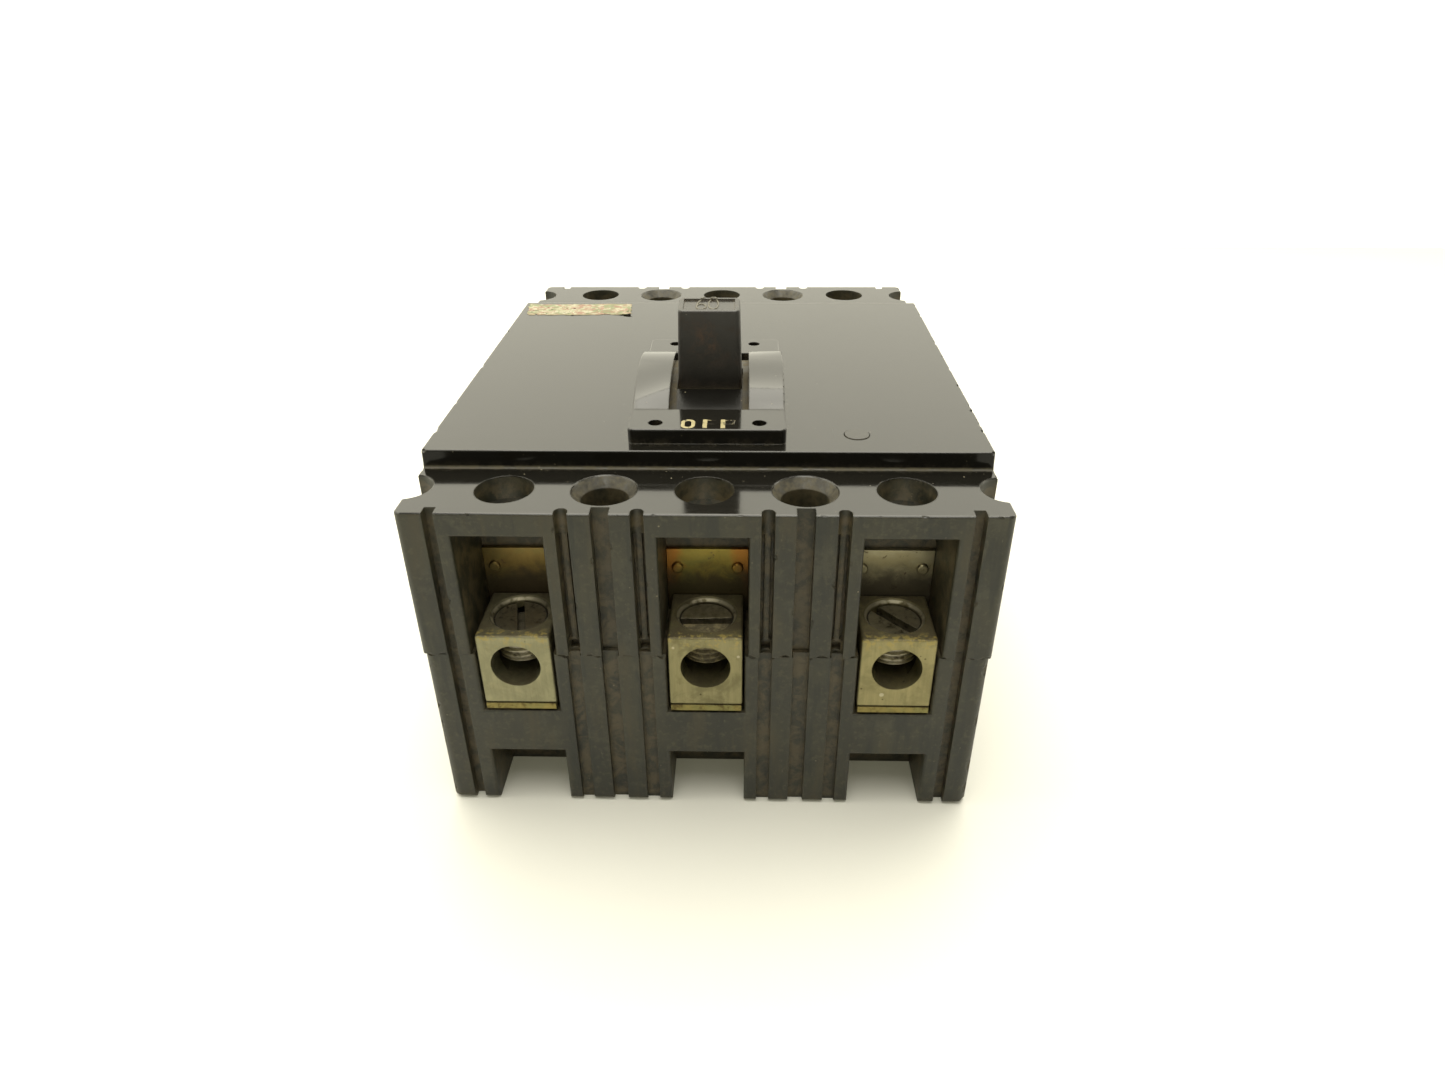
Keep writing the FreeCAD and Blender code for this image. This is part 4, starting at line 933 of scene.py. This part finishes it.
# ---------------------------------------------------------------- trip button spring
def button_spring():
    """Round-wire compression spring with closed ends."""
    x, y = 30.2 * MM, -49.0 * MM
    low, top = 70.34 * MM, 73.62 * MM
    coil_radius, wire_radius, turns = 2.1 * MM, 0.22 * MM, 3.6
    steps, around = int(turns * 40), 10
    verts, faces = [], []
    for k in range(steps + 1):
        share = k / steps
        angle = 2 * math.pi * turns * share
        rise = min(1.0, max(0.0, (share - 0.10) / 0.80))    # the end turns lie flat
        centre = Vector((x + coil_radius * math.cos(angle), y + coil_radius * math.sin(angle),
                         low + (top - low) * rise))
        outward = Vector((math.cos(angle), math.sin(angle), 0))
        for i in range(around):
            turn = 2 * math.pi * i / around
            verts.append(centre + outward * (wire_radius * math.cos(turn))
                         + Vector((0, 0, wire_radius * math.sin(turn))))
    for k in range(steps):
        ring, after = k * around, (k + 1) * around
        for i in range(around):
            j = (i + 1) % around
            faces.append((ring + i, after + i, after + j, ring + j))
    faces.append(list(range(around)))
    faces.append([steps * around + i for i in range(around)][::-1])
    spring = mesh_object("button_spring_wound", verts, faces, LOOKS["spring_steel"])
    smooth(spring.data)
    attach(spring, "housing")
    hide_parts("trip_button_spring")
    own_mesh(spring)


button_spring()


# ---------------------------------------------------------------- strokes
STROKE_STEP = 0.12      # mm between points along a stroke


def resample(line, fewest):
    """Points along a polyline, with at least fewest steps to each of its segments."""
    points = []
    for a, b in zip(line[:-1], line[1:]):
        count = max(fewest, int(math.dist(a, b) / STROKE_STEP))
        for k in range(count):
            t = k / count
            points.append((a[0] + (b[0] - a[0]) * t, a[1] + (b[1] - a[1]) * t))
    points.append(line[-1])
    return points


def side_vectors(points, closed=False):
    """Unit vector to the left of the path at each point."""
    last = len(points) - 1
    sides = []
    for i in range(last + 1):
        before, after = points[max(0, i - 1)], points[min(last, i + 1)]
        if closed and i in (0, last):
            before, after = points[-2], points[1]
        dx, dy = after[0] - before[0], after[1] - before[1]
        length = math.hypot(dx, dy) or 1
        sides.append((-dy / length, dx / length))
    return sides


def shifted(strokes, dx, dy=0.0):
    return [[(x + dx, y + dy) for x, y in line] for line in strokes]


def arc(x, y, radius_x, radius_y, start, end, count=20):
    points = []
    for i in range(count + 1):
        angle = math.radians(start + (end - start) * i / count)
        points.append((x + radius_x * math.cos(angle), y + radius_y * math.sin(angle)))
    return points


def ring_letter(width, height):
    r = width / 2
    return [arc(r, r, r, r, 180, 360) + arc(r, height - r, r, r, 0, 180) + [(0, r)]]


# ---------------------------------------------------------------- lettering on the cover
LETTER_TOP = 4.3        # mm, height of the straight letters
LETTER_Z = 78.9
LETTER_LIFT = 0.03 * MM
LETTER_JITTER = 0.05    # mm, unevenness of the edges


def ink(name, off, on):
    """Cream filling of the letters, rubbed away where the noise passes off to on."""
    m = Shader(name)
    wear = m.noise(620, seed=1.0, detail=5, rough=0.7, warp=0.5).ramp(off, on)
    m.color = m.mix(m.noise(900, seed=2.0, detail=3), (0.40, 0.35, 0.19), (0.26, 0.22, 0.11))
    m.paint(wear, (0.014, 0.012, 0.009))
    return m.finish(wear.lerp(at0=0.55, at1=0.25),
                    normal=m.bump(m.noise(1800, seed=3.0, detail=3), distance=0.00005,
                                  strength=0.8))


def marking(name, strokes, width, y, look, seed):
    """Flat inlaid strokes with uneven edges; strokes are polylines in mm from (0, y)."""
    origin = Vector((0 * MM, y * MM, LETTER_Z * MM))
    verts, faces = [], []
    for index, line in enumerate(strokes):
        points = resample(line, fewest=2)
        first = len(verts)
        for p, side in zip(points, side_vectors(points)):
            left, right = [width / 2 + LETTER_JITTER * mnoise.noise(
                Vector((p[0] * 4, p[1] * 4, seed + index + extra))) for extra in (0, 50)]
            for reach in (left, left * 0.4, -right * 0.4, -right):
                height = LETTER_LIFT * (0.35 if abs(reach) > width * 0.3 else 1.0)
                verts.append(origin + Vector(((p[0] + side[0] * reach) * MM,
                                              (p[1] + side[1] * reach) * MM, height)))
        for i in range(len(points) - 1):
            for k in range(3):
                a = first + i * 4 + k
                faces.append((a, a + 1, a + 5, a + 4))
    made = mesh_object(name, verts, faces, look)
    body = made.modifiers.new("body", "SOLIDIFY")
    body.thickness = LETTER_LIFT * 1.5
    body.offset = -1
    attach(made, "housing")


INK = ink("letter_fill_cream", off=0.55, on=0.64)
INK_WORN = ink("letter_fill_worn", off=0.36, on=0.47)
OFF_STEMS = [[(-0.45, 0.1), (-0.45, LETTER_TOP)], [(3.15, 0.0), (3.15, LETTER_TOP)]]
ARM_TOP, ARM_MIDDLE = LETTER_TOP - 0.3, LETTER_TOP * 0.50
OFF_ARMS = [
    [(0.0, ARM_TOP), (1.75, ARM_TOP)], [(0.0, ARM_MIDDLE), (1.3, ARM_MIDDLE)],
    [(3.6, ARM_TOP), (5.2, ARM_TOP)], [(3.6, ARM_MIDDLE), (5.2, ARM_MIDDLE)],
    [(5.2, ARM_MIDDLE), (5.35, LETTER_TOP - 0.4)],
]
N_TOP = LETTER_TOP - 0.2
N_STROKES = [[(1.0, 0), (1.0, N_TOP)], [(1.0, N_TOP), (3.3, 0)], [(3.3, 0), (3.3, N_TOP)]]

marking("marking_off_ring", shifted(ring_letter(2.05, LETTER_TOP - 0.6), -4.85),
        width=0.74, y=-52.9, look=INK, seed=3)
marking("marking_off_stems", OFF_STEMS, width=0.90, y=-53.15, look=INK, seed=5)
marking("marking_off_arms", OFF_ARMS, width=0.50, y=-53.15, look=INK_WORN, seed=7)
marking("marking_on_ring", shifted(ring_letter(2.2, LETTER_TOP - 0.5), -3.7),
        width=0.75, y=-3.7, look=INK, seed=9)
marking("marking_on_letter", N_STROKES, width=0.62, y=-3.8, look=INK_WORN, seed=10)


# ---------------------------------------------------------------- number on the handle tip
RIDGE_WIDTH = 0.42      # mm
RIDGE_LIFT = 0.20       # mm
# across (share of the width), height (share of the lift)
RIDGE_PROFILE = [(-0.5, -0.35), (-0.42, 0.45), (-0.2, 0.92), (0.0, 1.0),
                 (0.2, 0.92), (0.42, 0.45), (0.5, -0.35)]
SIX = [arc(1.1, 1.25, 1.0, 1.25, 0, 360, 30), arc(2.35, 1.6, 2.2, 3.6, 180, 105, 14)]
ZERO = [arc(1.1, 2.5, 1.0, 2.5, 0, 360, 32)]
NUMBER_Y = -34.35


def handle_digit(name, strokes, look, seed):
    """Rounded ridges draped from above on the top of the handle."""
    handle = NODES["handle"]
    bm = bmesh.new()
    bm.from_mesh(handle.data)
    bm.transform(handle.matrix_world)
    tree = BVHTree.FromBMesh(bm)
    bm.free()

    def top(x, y):
        hit = tree.ray_cast(Vector((x * MM, y * MM, 0.2)), Vector((0, 0, -1)))
        return hit[0].z if hit[0] is not None else None

    verts, faces = [], []
    for index, line in enumerate(strokes):
        points = resample(line, fewest=1)
        closed = math.dist(line[0], line[-1]) < 1e-6
        rows = []
        for p, side in zip(points, side_vectors(points, closed)):
            wobble = 1 + 0.18 * mnoise.noise(Vector((p[0] * 3, p[1] * 3, seed + index)))
            row = []
            for across, height in RIDGE_PROFILE:
                x = p[0] + side[0] * across * RIDGE_WIDTH
                y = p[1] + side[1] * across * RIDGE_WIDTH
                z = top(x, y)
                if z is None:              # off the handle: use the stroke's middle
                    z = top(p[0], p[1])
                row.append(len(verts))
                verts.append((x * MM, y * MM, z + height * RIDGE_LIFT * wobble * MM))
            rows.append(row)
        for a, b in zip(rows[:-1], rows[1:]):
            for k in range(len(RIDGE_PROFILE) - 1):
                faces.append((a[k], b[k], b[k + 1], a[k + 1]))
        if not closed:
            faces.append(tuple(rows[0][::-1]))
            faces.append(tuple(rows[-1]))
    made = mesh_object(name, verts, faces, look)
    smooth(made.data, sharp_degrees=50)
    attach(made, "handle")


def worn_tip():
    m = Shader("handle_tip_worn")
    cloud = m.noise(700, seed=1.0)
    m.color = m.mix(cloud, (0.045, 0.040, 0.028), (0.130, 0.115, 0.078))
    return m.finish(cloud.lerp(at0=0.22, at1=0.45), ior=1.58,
                    normal=m.bump(m.noise(2200, seed=2.0, detail=3), distance=0.00004,
                                  strength=0.6))


TIP = worn_tip()
handle_digit("handle_number_six", shifted(SIX, -2.75, NUMBER_Y), TIP, seed=21)
handle_digit("handle_number_zero", shifted(ZERO, -0.25, NUMBER_Y), TIP, seed=23)


# ---------------------------------------------------------------- torn label
# x, y of the near left, near right, far right and far left corner, mm
LABEL_CORNERS = ((-53.7, 32.5), (-24.6, 32.4), (-25.6, 43.2), (-55.3, 42.4))
LABEL_Z = 75.8
LABEL_THICKNESS = 0.07
LABEL_COLUMNS, LABEL_ROWS = 96, 34


def label_point(u, v):
    """Point of the label at shares u, v of its sides, mm."""
    x, y = [bilinear(*[corner[k] for corner in LABEL_CORNERS], u, v) for k in range(2)]
    # wavy torn edges
    x += ((0.7 if u > 0.5 else 1.0) * math.exp(-min(u, 1 - u) * 40)
          * mnoise.noise(Vector((3.1, y * 0.75, 1.7))))
    y += 0.55 * math.exp(-min(v, 1 - v) * 12) * mnoise.noise(
        Vector((x * 0.42, 8.2 + (3 if v > 0.5 else 0), 2.2)))
    if v < 0.4:                            # nick in the near edge towards the right
        y += 0.8 * math.exp(-((x + 31.6) / 2.2) ** 2) * (1 - v / 0.4)
    z = LABEL_Z + LABEL_THICKNESS
    # two lifted corners, a crease and a slight ripple
    z += 0.55 * max(0.0, 1 - math.dist((x, y), (-25.0, 33.0)) / 4.5) ** 2
    z += 0.30 * max(0.0, 1 - math.dist((x, y), (-54.6, 42.0)) / 3.5) ** 2
    z += 0.10 * max(0.0, 1 - abs(x + 37.8 + 0.1 * y) / 0.5)
    z += 0.05 * abs(mnoise.noise(Vector((x * 0.5, y * 0.5, 4.0))))
    return x * MM, y * MM, z * MM


def label_strip():
    """Blank strip of label stock with a few holes."""
    verts = [label_point(i / LABEL_COLUMNS, j / LABEL_ROWS)
             for j in range(LABEL_ROWS + 1) for i in range(LABEL_COLUMNS + 1)]
    faces = []
    for j in range(LABEL_ROWS):
        for i in range(LABEL_COLUMNS):
            hole = mnoise.noise(Vector((i * 0.21, j * 0.35, 9.0))) > 0.52
            if not (hole and 2 < i < LABEL_COLUMNS - 2):
                faces.append(grid_face(i, j, LABEL_COLUMNS))
    label = mesh_object("label_strip_torn", verts, faces, LOOKS["label_paper"])
    smooth(label.data, sharp_degrees=60)
    stock = label.modifiers.new("stock", "SOLIDIFY")
    stock.thickness = LABEL_THICKNESS * MM
    stock.offset = -1
    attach(label, "housing")
    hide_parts("label_remnant")


label_strip()


# ---------------------------------------------------------------- studio
def floor_look():
    m = Shader("studio_floor")
    cloud = m.noise(6, seed=1.0)
    m.color = m.mix(cloud, (0.680, 0.678, 0.648), (0.700, 0.698, 0.672))
    return m.finish(rough=0.55, glow=(1.0, 0.97, 0.62), glow_power=0.06,
                    normal=m.bump(m.noise(500, seed=2.0), distance=0.0001, strength=0.3))


def wall_look():
    """Softly lit paper wall, brighter towards the top."""
    m = Shader("studio_wall")
    z = m.xyz("Object")[2]
    m.color = m.mix(m.noise(3, seed=5.0, detail=3, rough=0.5),
                    (0.14, 0.14, 0.13), (0.16, 0.16, 0.15))
    return m.finish(rough=0.95, glow=(1.0, 0.962, 0.80), glow_power=1.20 + z * z * 4.6)


def sheet(name, corners, look, count=12):
    corners = [Vector(corner) for corner in corners]
    verts = [bilinear(*corners, i / count, j / count)
             for j in range(count + 1) for i in range(count + 1)]
    faces = [grid_face(i, j, count) for j in range(count) for i in range(count)]
    mesh_object(name, verts, faces, look)


def lamp(name, location, width, depth, power, color):
    """Rectangular area lamp that shines straight down."""
    light = bpy.data.lights.new(name, "AREA")
    light.shape = "RECTANGLE"
    light.size = width
    light.size_y = depth
    light.energy = power
    light.color = color
    made = bpy.data.objects.new(name, light)
    made.matrix_world = Matrix.Translation(location)
    scene.collection.objects.link(made)


# metres; the two walls stand on the floor and lean outwards
WALL_TOP = 1.02
FLOOR = floor_look()
WALL = wall_look()
sheet("studio_floor", ((-1.6, -2.2, 0), (1.6, -2.2, 0), (1.6, 0.435, 0), (-1.6, 0.46, 0)),
      FLOOR, count=24)
sheet("studio_back", ((-1.6, 0.46, 0), (1.6, 0.435, 0),
                      (1.6, 0.50, WALL_TOP), (-1.6, 0.52, WALL_TOP)), WALL)
sheet("studio_left", ((-0.36, -0.2, 0), (-0.425, 0.46, 0),
                      (-0.58, 0.52, WALL_TOP), (-0.52, -0.2, WALL_TOP)), WALL)

world = bpy.data.worlds.new("studio")
scene.world = world
world.use_nodes = True
background = world.node_tree.nodes["Background"]
background.inputs["Color"].default_value = (1.0, 0.965, 0.80, 1)
background.inputs["Strength"].default_value = 0.46

lamp("overhead_rear", (0.0, 0.20, 1.02), width=0.80, depth=0.60, power=7.5,
     color=(1.0, 0.965, 0.84))
lamp("overhead_front", (0.0, -0.40, 1.02), width=0.62, depth=0.60, power=5.4,
     color=(1.0, 0.968, 0.85))


# ---------------------------------------------------------------- camera
CAMERA_AT = (7.59165, -220.53160, 151.79618)    # mm
CAMERA_YAW = math.radians(-1.58620)             # from +y towards +x
CAMERA_PITCH = math.radians(30.59199)           # below the horizon
CAMERA_ROLL = math.radians(0.40621)


def add_camera():
    data = bpy.data.cameras.new("camera")
    camera = bpy.data.objects.new("camera", data)
    scene.collection.objects.link(camera)
    scene.camera = camera
    data.sensor_width = 36.0
    data.lens = 22.865172
    data.clip_start = 0.01
    data.clip_end = 20
    forward = Vector((math.sin(CAMERA_YAW) * math.cos(CAMERA_PITCH),
                      math.cos(CAMERA_YAW) * math.cos(CAMERA_PITCH), -math.sin(CAMERA_PITCH)))
    level = Vector((math.cos(CAMERA_YAW), -math.sin(CAMERA_YAW), 0))
    plumb = forward.cross(level)
    right = level * math.cos(CAMERA_ROLL) + plumb * math.sin(CAMERA_ROLL)
    down = -level * math.sin(CAMERA_ROLL) + plumb * math.cos(CAMERA_ROLL)
    rows = [(right[k], -down[k], -forward[k], CAMERA_AT[k] * MM) for k in range(3)]
    camera.matrix_world = Matrix((*rows, (0, 0, 0, 1)))


add_camera()
scene.view_settings.view_transform = "Standard"
scene.view_settings.look = "None"
scene.view_settings.exposure = 0.0
scene.view_settings.gamma = 1.0
